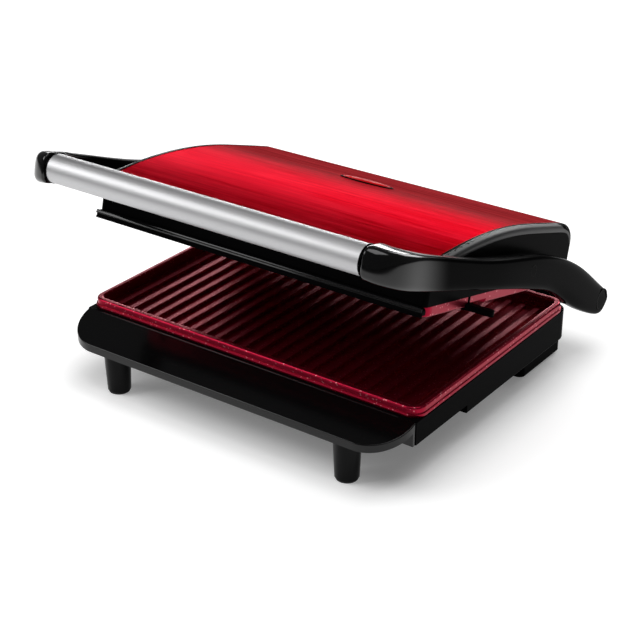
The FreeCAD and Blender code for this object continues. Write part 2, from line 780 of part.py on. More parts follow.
def electrical_inlet():
    """Bush for the cord in the rear wall, and the terminal block inside."""
    body = new_body("cord_gland")
    bind(body, "Placement.Base.x", "gland_x")
    bind(body, "Placement.Base.y", "base_rear_y")
    bind(body, "Placement.Base.z", "gland_z")
    pad(body, circles(body, [("0", "0")], ["gland_bore", "gland_flange_radius"], "XZ_Plane"),
        "gland_flange", back=True)
    pad(body, circles(body, [("0", "0")], ["gland_bore", "gland_neck"], "XZ_Plane"),
        "base_rear_y - wall_rear_y")
    pad(body, circles(body, [("0", "0")], ["gland_bore", "gland_ring_radius"], "XZ_Plane",
                      "base_rear_y - wall_rear_y"), "gland_flange")
    body = new_body("terminal_block")
    rear = "(wall_rear_y - fit_gap)"
    pad(body, rectangle(body, ("-block_length / 2", "block_length / 2"),
                        (f"{rear} - block_width", rear), "block_hole / 2", offset="base_floor_z"),
        "block_height")
    pitch = "(block_length / block_ways)"
    ways = [(f"{pitch} * ({way} - (block_ways - 1) / 2)", "base_floor_z + block_height / 2")
            for way in range(SIZES["block_ways"])]
    pocket(body, circles(body, ways, ["block_hole"], "XZ_Plane"))


def base_screws():
    """Four long screws that pull the lower plate down on the tray."""
    body = new_body("base_screws")
    posts = four_posts("plate_centre_y")
    pad(body, circles(body, posts, ["screw_head_radius"], offset="screw_seat_z"), "screw_head", back=True)
    pad(body, circles(body, posts, ["screw_radius"], offset="screw_seat_z"),
        "slab_z - boss_drop + screw_bite - touch_gap - screw_seat_z")


def hinge_bracket():
    """Bracket on the rear wall that carries the hinge pin."""
    body = new_body("hinge_bracket_right")
    pad(body, outline(body, (("base_rear_y", "hinge_z - bracket_foot"),
                             ("hinge_y", "hinge_z - bracket_knuckle"),
                             ("hinge_y", "hinge_z + bracket_knuckle"),
                             ("base_rear_y", "hinge_z - bracket_shoulder")),
                      "YZ_Plane", "bracket_x"), "bracket_width")
    pad(body, circles(body, [("hinge_y", "hinge_z")], ["bracket_knuckle"], "YZ_Plane", "bracket_x"),
        "bracket_width")
    pocket(body, circles(body, [("hinge_y", "hinge_z")], ["pin_radius + press_clearance"], "YZ_Plane"))
    right = bracket_screws()[2:]
    pocket(body, circles(body, right, ["screw_radius + press_clearance"], "XZ_Plane", "-base_rear_y"),
           "screw_bite")
    mirror(body, "hinge_bracket_left")
    body = new_body("hinge_screws")
    inner = "-wall_rear_y"
    pad(body, circles(body, bracket_screws(), ["screw_head_radius"], "XZ_Plane", inner), "screw_head")
    pad(body, circles(body, bracket_screws(), ["screw_radius"], "XZ_Plane", inner),
        "base_rear_y - wall_rear_y + screw_bite - touch_gap", back=True)


def hinge_pin():
    """Hinge pin through bracket and arm, and the washer between them."""
    axis = [("hinge_y", "hinge_z")]
    body = new_body("hinge_pin_right")
    pad(body, circles(body, axis, ["pin_radius"], "YZ_Plane", "bracket_x + pin_inset"),
        "arm_outer_x - cap_thickness - face_gap - bracket_x - pin_inset")
    mirror(body, "hinge_pin_left")
    body = new_body("hinge_washer_right")
    ring = ["pin_radius + running_clearance", "washer_radius"]
    pad(body, circles(body, axis, ring, "YZ_Plane", "bracket_end + face_gap / 2"), "washer_thickness")
    mirror(body, "hinge_washer_left")


def handle_tube():
    """Bright tube across the front, and the thin collars at its ends."""
    axis = [("tube_y", "tube_z")]
    body = new_body("handle_tube")
    turn(body)
    pad(body, circles(body, axis, ["tube_radius", "tube_radius - tube_wall"], "YZ_Plane"),
        "2 * (tube_half_length - collar_width)", both=True)
    body = new_body("tube_collar_right")
    turn(body)
    ring = ["tube_radius + collar_proud", "tube_radius - tube_wall"]
    pad(body, circles(body, axis, ring, "YZ_Plane", "tube_half_length - collar_width"), "collar_width")
    mirror(body, "tube_collar_left")


def arm_point(shares, radius):
    """A corner of the arm's outline from its shares of the arm's length and height."""
    along, up = shares
    return (f"tube_y + arm_span * {along}", f"hinge_z + arm_fall * {up}", radius)


def arm_side():
    """Outline of the arm from the side, from the tube along the top to the hinge and back."""
    points = [("elbow_front_y", "tube_z + elbow_radius")]
    points += [arm_point(s, r) for s, r in zip(ARM_TOP_SHARES, ARM_TOP_ROUNDS)]
    points += [(f"hinge_y + knuckle_radius * {along}", f"hinge_z + knuckle_radius * {up}", "arm_end_round")
               for along, up in ARM_END_SHARES]
    points += [arm_point(s, r) for s, r in zip(ARM_UNDER_SHARES, ARM_UNDER_ROUNDS)]
    points += [("elbow_front_y", "tube_z - elbow_radius")]
    return points


def cover_corners(margin, end_margin):
    """Outline of the arm's inner cover, drawn in by a margin along it and one at its ends."""
    start = f"tube_y + arm_span * arm_cover_start_share + {end_margin}"
    end = f"tube_y + arm_span * arm_cover_end_share - {end_margin}"
    start_z = "hinge_z + arm_fall * arm_cover_start_rise_share"
    end_z = "hinge_z + arm_fall * arm_cover_end_rise_share"
    half = f"(arm_cover_half_height - {margin})"
    corners = ((start, f"{start_z} - {half}"), (end, f"{end_z} - {half}"),
               (end, f"{end_z} + {half}"), (start, f"{start_z} + {half}"))
    return [corner + ("arm_cover_corner",) for corner in corners]


def cover_screws():
    """Places of the two screws in the arm's inner cover."""
    inset = "channel_end_margin / 2"
    return [(f"tube_y + arm_span * arm_cover_start_share + {inset}",
             "hinge_z + arm_fall * arm_cover_start_rise_share"),
            (f"tube_y + arm_span * arm_cover_end_share - {inset}",
             "hinge_z + arm_fall * arm_cover_end_rise_share")]


def arm():
    """Right arm from the tube's end, round an elbow, along the lid to the hinge knuckle."""
    body = new_body("arm_right")
    turn(body)
    pad(body, outline(body, arm_side(), "YZ_Plane", "tube_half_length"), "arm_outer_x - tube_half_length")
    inside = "tube_half_length - overrun"
    behind = "hinge_y + 2 * knuckle_radius"
    pocket(body, outline(body, ((inside, "tube_y + elbow_radius"),
                                ("arm_inner_x", "tube_y + elbow_radius", "elbow_inner"),
                                ("arm_inner_x", behind), (inside, behind))))
    outside = "arm_outer_x + overrun"
    ahead = "elbow_front_y - overrun"
    elbow_x = "arm_outer_x - elbow_flare"
    start = f"{elbow_x} - elbow_outer - overrun"
    flare = "tube_y + arm_span * flare_share"
    pocket(body, outline(body, ((start, ahead), (outside, ahead), (outside, f"{flare} + flare_round / 4"),
                                ("arm_outer_x", f"{flare} + flare_round / 4"),
                                ("arm_outer_x", flare, "flare_round"),
                                (elbow_x, "elbow_front_y", "elbow_outer"), (start, "elbow_front_y"))))
    inner = value("arm_inner_x")
    bend = value(f"{elbow_x} - elbow_outer")
    front = value("elbow_front_y")
    elbow = value("elbow_radius")
    round_edges(body, lambda p: p.x > inner + CLOSE or p.x > bend - CLOSE and p.y < front + elbow,
                "arm_round", upright=False)
    axis = [("hinge_y", "hinge_z")]
    pad(body, circles(body, axis, ["knuckle_radius"], "YZ_Plane", "knuckle_x"), "arm_outer_x - knuckle_x")
    pad(body, circles(body, [("tube_y", "tube_z")], ["tube_radius - tube_wall - running_clearance"],
                      "YZ_Plane", "tube_half_length"), "spigot_length", back=True)
    pocket(body, circles(body, axis, ["pin_radius + running_clearance"], "YZ_Plane"))
    pocket(body, circles(body, axis, ["hinge_cap_radius + press_clearance"], "YZ_Plane", "arm_outer_x"),
           "cap_thickness")
    pivot = [("pivot_y", "pivot_z")]
    pocket(body, circles(body, pivot, ["pivot_radius + press_clearance"], "YZ_Plane", "arm_inner_x"),
           "pivot_seat + face_gap", back=True)
    pocket(body, circles(body, pivot, ["cap_radius + press_clearance"], "YZ_Plane", "arm_outer_x"),
           "cap_thickness")
    pocket(body, outline(body, cover_corners("0", "0"), "YZ_Plane", "arm_inner_x"),
           "arm_cover_wall", back=True)
    pocket(body, outline(body, cover_corners("channel_margin", "channel_end_margin"),
                         "YZ_Plane", "arm_inner_x"), "channel_depth", back=True)
    pocket(body, circles(body, cover_screws(), ["small_screw_radius + press_clearance"],
                         "YZ_Plane", "arm_inner_x"), "arm_cover_wall + small_bite", back=True)
    mirror(body, "arm_left")


def arm_fittings():
    """Inner cover with its screws, lid pivot pin, and the two round caps of an arm."""
    body = new_body("arm_cover_right")
    turn(body)
    pad(body, outline(body, cover_corners("fit_gap", "fit_gap"), "YZ_Plane", "arm_inner_x"),
        "arm_cover_wall")
    pocket(body, circles(body, cover_screws(), ["small_screw_radius + screw_clearance"], "YZ_Plane"))
    pocket(body, circles(body, cover_screws(), ["small_head_radius + screw_clearance"],
                         "YZ_Plane", "arm_inner_x"), "small_head", back=True)
    mirror(body, "arm_cover_left")
    body = new_body("arm_screws_right")
    turn(body)
    pad(body, circles(body, cover_screws(), ["small_head_radius"], "YZ_Plane", "arm_inner_x"), "small_head")
    pad(body, circles(body, cover_screws(), ["small_screw_radius"], "YZ_Plane", "arm_inner_x"),
        "arm_cover_wall + small_bite - touch_gap")
    mirror(body, "arm_screws_left")
    pivot = [("pivot_y", "pivot_z")]
    body = new_body("lid_pivot_right")
    turn(body)
    pad(body, circles(body, pivot, ["pivot_radius"], "YZ_Plane", "frame_inner + face_gap"),
        "arm_inner_x + pivot_seat - frame_inner - face_gap")
    mirror(body, "lid_pivot_left")
    seat = "arm_outer_x - cap_thickness"
    body = new_body("pivot_cap_right")
    turn(body)
    pad(body, circles(body, pivot, ["cap_radius"], "YZ_Plane", seat), "cap_thickness")
    mirror(body, "pivot_cap_left")
    body = new_body("hinge_cap_right")
    turn(body)
    pad(body, circles(body, [("hinge_y", "hinge_z")], ["hinge_cap_radius"], "YZ_Plane", seat),
        "cap_thickness")
    mirror(body, "hinge_cap_left")


def lid_frame():
    """Black lower frame of the lid: flange, skirt and the deck behind the upper plate."""
    body = new_body("lid_frame")
    turn(body)
    pad(body, rectangle(body, ("-lid_half", "lid_half"), ("lid_front_y", "lid_rear_y"), "lid_corner",
                        offset="flange_z"), "flange_height")
    x = ("-cover_half", "cover_half")
    y = ("skirt_front_y", "skirt_rear_y")
    pad(body, rectangle(body, x, y, offset="flange_top_z"), "skirt_height")
    top = value("flange_top_z")
    ahead = value("lid_front_y + lid_corner")
    round_edges(body, lambda p: near(p.z, top) and p.y < ahead + CLOSE, "flange_round")
    inner_x = ("-frame_inner", "frame_inner")
    inner_y = ("skirt_front_y + frame_wall", "skirt_rear_y - frame_wall")
    pocket(body, rectangle(body, inner_x, inner_y, offset="flange_z"), "deck_height", back=True)
    pocket(body, rectangle(body, inner_x, inner_y, offset="skirt_top_z"),
           "skirt_top_z - deck_z - deck_thickness")
    for side in ("-", ""):
        pocket(body, rectangle(body, (f"{side}(frame_inner - fit_gap)", f"{side}(lid_half + overrun)"),
                               inner_y, offset="flange_z"), "lid_side_z - flange_z", back=True)
    posts = four_posts("upper_centre_y")
    pad(body, circles(body, posts, ["post_radius"], offset="upper_slab_z"), "deck_z - upper_slab_z")
    pocket(body, circles(body, posts, ["screw_radius + screw_clearance"]))
    pocket(body, circles(body, [("pivot_y", "pivot_z")], ["pivot_radius + running_clearance"], "YZ_Plane"))


def arch(bottom, inward):
    """Side outline of the lid's arch, drawn in by a wall."""
    front = f"skirt_front_y + {inward}"
    rear = f"skirt_rear_y - {inward}"
    corner = f"max(arch_front_round - {inward}; touch_gap)"
    return ((front, bottom), (front, f"cover_front_z - {inward}", corner),
            ("crown_y", f"crown_z - {inward}", f"arch_crown_round - {inward}"),
            (rear, f"cover_rear_z - {inward}", f"arch_rear_round - {inward}"), (rear, bottom))


def oval(body, length, width, offset):
    """A slot with round ends over the lamps, at a height."""
    return rectangle(body, (f"-({length}) / 2", f"({length}) / 2"),
                     (f"lens_y - ({width}) / 2", f"lens_y + ({width}) / 2"),
                     f"({width}) / 2 - touch_gap", offset=offset)


def lid_cover():
    """Arched sheet-metal cover with the slot for the lamp lens."""
    body = new_body("lid_cover")
    turn(body)
    pad(body, outline(body, arch("skirt_top_z", "0"), "YZ_Plane"), "2 * cover_half", both=True)
    pocket(body, outline(body, arch("skirt_top_z - overrun", "cover_thickness"), "YZ_Plane"))
    pocket(body, oval(body, "lens_length", "lens_width", "lens_top_z"), "lens_drop")


def end_cap():
    """Moulded end of the lid with a rolled upper edge."""
    body = new_body("end_cap_right")
    turn(body)
    pad(body, outline(body, arch("lid_side_z", "0"), "YZ_Plane", "cover_half + fit_gap"),
        "end_cap_thickness")
    outer = value("lid_half")
    floor = value("lid_side_z")
    round_edges(body, lambda p: near(p.x, outer) and p.z > floor + CLOSE, "end_cap_roll")
    pocket(body, circles(body, [("pivot_y", "pivot_z")], ["pivot_radius + running_clearance"], "YZ_Plane"))
    mirror(body, "end_cap_left")


def lamp():
    """Lens in the cover, and the board with two lamps below it on the deck."""
    body = new_body("pilot_lens")
    turn(body)
    length = "lens_length - 2 * fit_gap"
    width = "lens_width - 2 * fit_gap"
    pad(body, oval(body, length, width, "lens_seat_z - lens_flange_wall"),
        "lens_top_z - lens_seat_z + lens_flange_wall")
    round_edges(body, lambda p: near(p.z, value("lens_top_z")), "lens_round")
    pad(body, oval(body, "lens_length + 2 * lens_flange", "lens_width + 2 * lens_flange",
                   "lens_seat_z - lens_flange_wall"), "lens_flange_wall")
    deck_top = "deck_z + deck_thickness"
    body = new_body("pilot_board")
    turn(body)
    half = "(lens_length / 2 + board_margin)"
    half_y = "(lens_width / 2 + board_margin)"
    pad(body, rectangle(body, (f"-{half}", half), (f"lens_y - {half_y}", f"lens_y + {half_y}"),
                        "board_margin", offset=deck_top), "board_thickness")
    body = new_body("pilot_lamps")
    turn(body)
    places = [("-lamp_spacing / 2", "lens_y"), ("lamp_spacing / 2", "lens_y")]
    pad(body, circles(body, places, ["lamp_radius"], offset=f"{deck_top} + board_thickness"), "lamp_height")


def lid_screws():
    """Four screws from the deck down into the upper plate."""
    body = new_body("lid_screws")
    turn(body)
    posts = four_posts("upper_centre_y")
    seat = "deck_z + deck_thickness"
    pad(body, circles(body, posts, ["screw_head_radius"], offset=seat), "screw_head")
    pad(body, circles(body, posts, ["screw_radius"], offset=seat),
        "deck_z + deck_thickness - upper_slab_z + upper_bite - touch_gap", back=True)


def stop_finger():
    """Finger that swivels under the right edge of the lid, on a headed pin."""
    body = new_body("stop_finger")
    turn(body)
    place = [("finger_x", "finger_y")]
    low = "finger_top_z - finger_thickness"
    pad(body, circles(body, place, ["finger_boss"], offset=low), "finger_thickness")
    tip = "finger_x + finger_reach"
    y = ("finger_y - finger_width / 2", "finger_y + finger_width / 2")
    pad(body, outline(body, (("finger_x", y[0]), (tip, y[0], "finger_width / 2 - touch_gap"),
                             (tip, y[1], "finger_width / 2 - touch_gap"), ("finger_x", y[1])), offset=low),
        "finger_thickness")
    pocket(body, circles(body, place, ["finger_pin_radius + running_clearance"]))
    pocket(body, circles(body, place, ["finger_boss - finger_head + running_clearance"], offset=low),
           "finger_head + face_gap", back=True)
    body = new_body("stop_pin")
    turn(body)
    pad(body, circles(body, place, ["finger_pin_radius"], offset=low),
        "finger_thickness + face_gap + side_rim_top_z - flange_z")
    pad(body, circles(body, place, ["finger_boss - finger_head"], offset=low), "finger_head")


def build():
    """Make every sub-part of the press."""
    base_shell()
    front_apron()
    front_leg()
    foot_pads()
    rear_foot()
    lower_plate()
    element("lower_element", "plate_centre_y", "element_z")
    clamps("lower_clamps", "plate_centre_y", "element_z", "slab_z")
    shield("lower_shield", "plate_centre_y", "shield_z", False)
    thermostat("lower_thermostat", "plate_centre_y", "slab_z", True)
    thermal_fuse()
    electrical_inlet()
    base_screws()
    hinge_bracket()
    hinge_pin()
    handle_tube()
    arm()
    arm_fittings()
    lid_frame()
    lid_cover()
    end_cap()
    upper_plate()
    turn(element("upper_element", "upper_centre_y", "upper_element_z"))
    turn(clamps("upper_clamps", "upper_centre_y", "upper_element_z", "upper_slab_z"))
    turn(shield("upper_shield", "upper_centre_y", "upper_shield_z + shield_thickness", True))
    turn(thermostat("upper_thermostat", "upper_centre_y", "upper_slab_z", False))
    lamp()
    lid_screws()
    stop_finger()
    doc.recompute()


def write_out():
    """Check every object, and write each sub-part to its own file."""
    for obj in doc.Objects:
        if "Invalid" in obj.State or "Error" in obj.State:
            raise RuntimeError(f"{obj.Label} failed: {obj.State}")
    os.makedirs("parts", exist_ok=True)
    for label, obj in nodes.items():
        if obj.Shape.isNull() or not obj.Shape.isValid():
            raise RuntimeError(f"{label} has no valid shape")
    for label, obj in nodes.items():
        obj.Shape.exportStep(f"parts/{label}.step")
        print(label, len(obj.Shape.Solids), round(obj.Shape.Volume, 1))


build()
write_out()
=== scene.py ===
"""Dresses the packed sandwich press: finishes, small fittings, studio and camera.

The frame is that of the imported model: X to the right, Y to the rear hinge, Z up. The fittings' sizes are in
millimetres, and those of the finishes and the studio in metres.
"""

import json
import logging
import math
from dataclasses import dataclass, field
from enum import Enum
from typing import Any, Optional, Sequence, Union

import bmesh
import bpy
from mathutils import Matrix, Vector


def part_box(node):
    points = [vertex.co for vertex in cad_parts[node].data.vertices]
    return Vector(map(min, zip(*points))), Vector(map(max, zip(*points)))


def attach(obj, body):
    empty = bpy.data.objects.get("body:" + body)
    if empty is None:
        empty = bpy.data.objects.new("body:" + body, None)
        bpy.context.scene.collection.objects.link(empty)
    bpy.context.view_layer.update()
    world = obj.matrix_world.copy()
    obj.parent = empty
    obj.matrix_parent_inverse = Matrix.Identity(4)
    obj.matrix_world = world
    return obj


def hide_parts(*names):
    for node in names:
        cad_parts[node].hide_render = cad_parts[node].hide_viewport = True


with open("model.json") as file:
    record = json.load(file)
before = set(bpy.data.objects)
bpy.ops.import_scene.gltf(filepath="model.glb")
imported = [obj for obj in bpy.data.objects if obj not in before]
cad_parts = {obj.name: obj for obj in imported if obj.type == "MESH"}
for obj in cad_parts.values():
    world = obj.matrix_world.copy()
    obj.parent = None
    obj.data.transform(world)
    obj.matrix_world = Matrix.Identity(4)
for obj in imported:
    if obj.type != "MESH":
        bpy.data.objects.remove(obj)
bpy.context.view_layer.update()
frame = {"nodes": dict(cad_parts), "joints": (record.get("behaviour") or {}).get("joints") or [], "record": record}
LOG = logging.getLogger("sandwich_press")

MM = 0.001
# Faces across a rounded edge, round a wide corner, round an oval and round a turned piece
EDGE_STEPS, CORNER_STEPS, OVAL_STEPS, TURN_STEPS = 3, 8, 64, 48
# Points of a turned piece that lie closer than this become one
MERGE = 0.00002
# Edges that bend by more than this stay sharp
CREASE = math.radians(35.0)
# Points of the unit square that lie beyond this are its corners
CORNER = 0.99
# Inputs and output of the Mix node for colours
MIX_SHARE, MIX_FIRST, MIX_SECOND, MIX_RESULT = 0, 6, 7, 2

Pair = tuple[float, float]
Triple = tuple[float, float, float]
Colour = Triple
Materials = dict[str, bpy.types.Material]
Number = Union[float, "Signal"]


class Signal:
    """A shader socket that takes part in sums, products and differences."""

    def __init__(self, graph: "Graph", socket: bpy.types.NodeSocket) -> None:
        """Keep the socket and the graph that it belongs to."""
        self.graph = graph
        self.socket = socket

    def _math(self, operation: str, first: Number, second: Number) -> "Signal":
        """One Math node on two numbers or sockets.

        Args:
            operation: The Math node's operation.
            first: Its first number or socket.
            second: Its second number or socket.

        Returns:
            The node's value.
        """
        return self.graph.node("ShaderNodeMath", {"operation": operation}, {0: first, 1: second})

    def __add__(self, other: Number) -> "Signal":
        """This value plus another."""
        return self._math("ADD", self, other)

    def __radd__(self, other: Number) -> "Signal":
        """Another value plus this one."""
        return self._math("ADD", other, self)

    def __sub__(self, other: Number) -> "Signal":
        """This value less another."""
        return self._math("SUBTRACT", self, other)

    def __mul__(self, other: Number) -> "Signal":
        """This value times another."""
        return self._math("MULTIPLY", self, other)

    def __abs__(self) -> "Signal":
        """The size of this value."""
        return self._math("ABSOLUTE", self, 0.0)

    def root(self) -> "Signal":
        """The square root of this value."""
        return self._math("SQRT", self, 0.0)

    def at_least(self, limit: Number) -> "Signal":
        """This value, or a limit where that is more."""
        return self._math("MAXIMUM", self, limit)

    def above(self, limit: Number) -> "Signal":
        """One where this value is over a limit, and zero elsewhere."""
        return self._math("GREATER_THAN", self, limit)


class Graph:
    """The node tree of one material, with its main shader."""

    def __init__(self, name: str) -> None:
        """Start a material with an empty tree, a main shader and an output."""
        self.material = bpy.data.materials.new(name)
        self.material.use_nodes = True
        self.tree = self.material.node_tree
        self.tree.nodes.clear()
        self.shader = self.tree.nodes.new("ShaderNodeBsdfPrincipled")
        output = self.tree.nodes.new("ShaderNodeOutputMaterial")
        self.tree.links.new(self.shader.outputs["BSDF"], output.inputs["Surface"])

    def feed(self, socket: bpy.types.NodeSocket, value: Any) -> None:
        """Set a socket to a plain value, or link it to a signal.

        Args:
            socket: The input to fill.
            value: A number, colour, vector or signal.
        """
        if isinstance(value, Signal):
            self.tree.links.new(value.socket, socket)
        elif isinstance(value, tuple) and len(value) == 3 and socket.type == "RGBA":
            socket.default_value = (*value, 1.0)
        else:
            socket.default_value = value

    def node(self, kind: str, settings: Optional[dict[str, Any]] = None,
             inputs: Optional[dict[Union[int, str], Any]] = None, output: Union[int, str] = 0) -> Signal:
        """Add any node, with its settings first and then its inputs.

        Args:
            kind: The node's type.
            settings: Properties to set.
            inputs: Values or signals by socket name or number.
            output: The socket to hand back.

        Returns:
            The chosen output.
        """
        made = self.tree.nodes.new(kind)
        for key, value in (settings or {}).items():
            setattr(made, key, value)
        for key, value in (inputs or {}).items():
            self.feed(made.inputs[key], value)
        return Signal(self, made.outputs[output])

    def place(self, stretch: Sequence[float] = (1.0, 1.0, 1.0),
              turn: Sequence[float] = (0.0, 0.0, 0.0)) -> Signal:
        """Object coordinates, turned and then stretched.

        Args:
            stretch: Factors along X, Y and Z.
            turn: Angles about X, Y and Z.

        Returns:
            The coordinates.
        """
        here = self.node("ShaderNodeTexCoord", output="Object")
        return self.node("ShaderNodeMapping", inputs={"Vector": here, "Scale": tuple(stretch),
                                                      "Rotation": tuple(turn)})

    def axis(self, name: str) -> Signal:
        """One object coordinate: X, Y or Z."""
        return self.node("ShaderNodeSeparateXYZ", inputs={"Vector": self.place()}, output=name)

    def ramp(self, value: Signal, span: Pair, ends: Pair,
             soft: bool = True) -> Signal:
        """Turn one range of values into another, level beyond its ends.

        Args:
            value: What is turned.
            span: Where the ramp starts and where it ends.
            ends: Its values there.
            soft: Whether it starts and ends gently.

        Returns:
            The ramp's value.
        """
        return self.node("ShaderNodeMapRange", {"interpolation_type": "SMOOTHSTEP" if soft else "LINEAR"},
                         {"Value": value, "From Min": span[0], "From Max": span[1],
                          "To Min": ends[0], "To Max": ends[1]})

    def noise(self, at: Signal, scale: float, detail: float = 3.0, rough: float = 0.55) -> Signal:
        """Soft noise from zero to one.

        Args:
            at: Where it is read.
            scale: Patches per metre.
            detail: Number of finer layers.
            rough: Strength of the finer layers.

        Returns:
            The noise.
        """
        return self.node("ShaderNodeTexNoise", inputs={"Vector": at, "Scale": scale, "Detail": detail,
                                                       "Roughness": rough})

    def blend(self, share: Number, first: Any, second: Any) -> Signal:
        """Mix two colours.

        Args:
            share: How much of the second.
            first: A colour or signal.
            second: A colour or signal.

        Returns:
            The mixed colour.
        """
        return self.node("ShaderNodeMix", {"data_type": "RGBA", "blend_type": "MIX"},
                         {MIX_SHARE: share, MIX_FIRST: first, MIX_SECOND: second}, output=MIX_RESULT)

    def bump(self, height: Signal, depth: float) -> None:
        """Give the main shader a bump.

        Args:
            height: The relief from zero to one.
            depth: Its depth in metres.
        """
        normal = self.node("ShaderNodeBump", inputs={"Height": height, "Distance": depth, "Strength": 1.0})
        self.feed(self.shader.inputs["Normal"], normal)

    def set(self, **values: Any) -> None:
        """Fill the main shader's sockets, named with underscores for spaces."""
        for key, value in values.items():
            self.feed(self.shader.inputs[key.replace("_", " ")], value)


class Along(Enum):
    """The direction in which a surface is brushed, as stretch factors of its streaks."""

    LENGTH = (1.0, 90.0, 90.0)
    ROUND = (90.0, 1.0, 1.0)


@dataclass(frozen=True)
class Moulding:
    """Black moulded plastic, from satin to high gloss.

    Attributes:
        name: The material's name.
        tone: Its colour.
        roughness: Its mean roughness.
        grain: Texture grains per metre.
        relief: Depth of the texture.
        shine: Strength of its reflection.
        polish: Strength of the polish on its front end, where hands hold it.
        polish_end: Y where the polish is whole, and where it has faded out.
        polish_blur: Roughness of the polish.
        smudges: Soft patches per metre.
        shades: Its darkest and its lightest patches, as shares of the tone.
        wear: Even, patchy and grainy shares of the roughness.
    """

    name: str
    tone: Colour
    roughness: float
    grain: float
    relief: float
    shine: float
    polish: float = 0.0
    polish_end: Pair = (-0.132, -0.085)
    polish_blur: float = 0.12
    smudges: float = 14.0
    shades: Pair = (0.75, 1.35)
    wear: Triple = (0.8, 0.3, 0.1)

    def material(self) -> bpy.types.Material:
        """The finished material."""
        graph = Graph(self.name)
        here = graph.place()
        smudge = graph.noise(here, self.smudges, 4.0)
        grain = graph.noise(here, self.grain, 2.0)
        deep, light = (tuple(share * c for c in self.tone) for share in self.shades)
        even, patchy, grainy = (share * self.roughness for share in self.wear)
        graph.set(Base_Color=graph.blend(smudge, deep, light), Specular_IOR_Level=self.shine,
                  Roughness=even + smudge * patchy + grain * grainy)
        graph.bump(grain, self.relief)
        if self.polish:
            held = graph.ramp(graph.axis("Y"), self.polish_end, (self.polish, 0.0))
            graph.set(Coat_Weight=held, Coat_Roughness=self.polish_blur)
        return graph.material


@dataclass(frozen=True)
class Brushed:
    """Bare metal with fine streaks.

    Attributes:
        name: The material's name.
        tone: Its colour.
        along: The direction of the streaks.
        roughness: Its mean roughness.
        lift: Roughness that its streaks and patches add on average.
        shade: Its darkest streaks, as a share of the tone.
        relief: Depth of the streaks.
    """

    name: str
    tone: Colour
    along: Along
    roughness: float
    lift: float = 0.11
    shade: float = 0.78
    relief: float = 0.00003

    def material(self) -> bpy.types.Material:
        """The finished material."""
        graph = Graph(self.name)
        streak = graph.noise(graph.place(self.along.value), 14.0, 5.0, 0.7)
        cloud = graph.noise(graph.place(), 9.0, 2.0)
        dark = tuple(self.shade * c for c in self.tone)
        graph.set(Base_Color=graph.blend(streak * 0.7 + cloud * 0.3, dark, self.tone), Metallic=1.0,
                  Roughness=streak * 0.18 + cloud * 0.06 + (self.roughness - self.lift))
        graph.bump(streak, self.relief)
        return graph.material


@dataclass(frozen=True)
class RedMetal:
    """Metallic red lacquer over brushed sheet.

    Attributes:
        name: The material's name.
        deep: Its colour in the shade of the streaks.
        bright: Its colour on top of the streaks.
        edge: Its tint where it is seen along the surface.
        roughness: Its mean roughness.
        tilt: Angle of the lid that it covers.
        rear: Y where the metal starts to give way to plain red, and where it has: painted shade at the rear.
        rear_metal: How metallic it is at the rear, under that painted shade.
        long_streaks: Stretch, scale and roughness of the noise of the long streaks.
        fine_streaks: The same for the fine streaks.
        contrast: Range of the streaks' noise that goes from deep to bright.
        lift: Roughness that its streaks add on average.
        relief: Depth of the fine streaks.
    """

    name: str
    deep: Colour
    bright: Colour
    edge: Colour
    roughness: float
    tilt: float
    rear: Pair = (0.015, 0.065)
    rear_metal: float = 0.06
    long_streaks: Triple = (30.0, 9.0, 0.7)
    fine_streaks: Triple = (32.0, 26.0, 0.8)
    contrast: Pair = (0.39, 0.61)
    lift: float = 0.11
    relief: float = 0.000005

    def material(self) -> bpy.types.Material:
        """The finished material."""
        graph = Graph(self.name)
        turn = (self.tilt, 0.0, 0.0)
        long_streak, fine_streak = (
            graph.noise(graph.place((1.0, stretch, stretch), turn), scale, 4.0, rough)
            for stretch, scale, rough in (self.long_streaks, self.fine_streaks))
        cloud = graph.noise(graph.place(), 7.0, 2.0)
        streak = long_streak * 0.7 + fine_streak * 0.3
        height = graph.ramp(streak, self.contrast, (0.0, 1.0), soft=False)
        # Less metallic towards the rear, which takes the reflection away there: painted shade.
        graph.set(Base_Color=graph.blend(height * 0.85 + cloud * 0.15, self.deep, self.bright),
                  Metallic=graph.ramp(graph.axis("Y"), self.rear, (1.0, self.rear_metal)),
                  Roughness=streak * 0.22 + (self.roughness - self.lift), Specular_Tint=self.edge,
                  Specular_IOR_Level=0.0)
        graph.bump(fine_streak, self.relief)
        return graph.material


@dataclass(frozen=True)
class NonStick:
    """Sprayed metallic non-stick coat with fine pale flecks, painted in as glints of its sparkle.

    Attributes:
        name: The material's name.
        tone: Its colour.
        fleck_glint: The colour of the flecks, painted pale as glints.
        roughness: Its mean roughness.
        metal: How metallic it looks between the flecks.
        cells: Cells per metre, each of which may hold a fleck.
        plain: Share of the cells without one.
        shade: Its darkest patches, as a share of the tone.
        lift: Roughness that its patches add on average.
        relief: Depth of the sprayed grain.
    """

    name: str
    tone: Colour
    fleck_glint: Colour
    roughness: float
    metal: float
    cells: float = 1100.0
    plain: float = 0.97
    shade: float = 0.7
    lift: float = 0.11
    relief: float = 0.00003

    def material(self) -> bpy.types.Material:
        """The finished material."""
        graph = Graph(self.name)
        here = graph.place()
        cloud = graph.noise(here, 22.0, 4.0)
        spray = graph.noise(here, 1500.0, 2.0)
        cell = graph.node("ShaderNodeTexVoronoi", inputs={"Vector": here, "Scale": self.cells},
                          output="Color")
        # Flecks painted pale in the base colour as the coat's glints.
        glint = graph.node("ShaderNodeSeparateColor", inputs={"Color": cell}).above(self.plain)
        deep = tuple(self.shade * c for c in self.tone)
        body = graph.blend(cloud, deep, self.tone)
        graph.set(Base_Color=graph.blend(glint * 0.5, body, self.fleck_glint),
                  Roughness=cloud * 0.12 + spray * 0.1 + (self.roughness - self.lift),
                  Metallic=glint * 0.1 + self.metal, Specular_IOR_Level=0.1)
        graph.bump(spray, self.relief)
        return graph.material


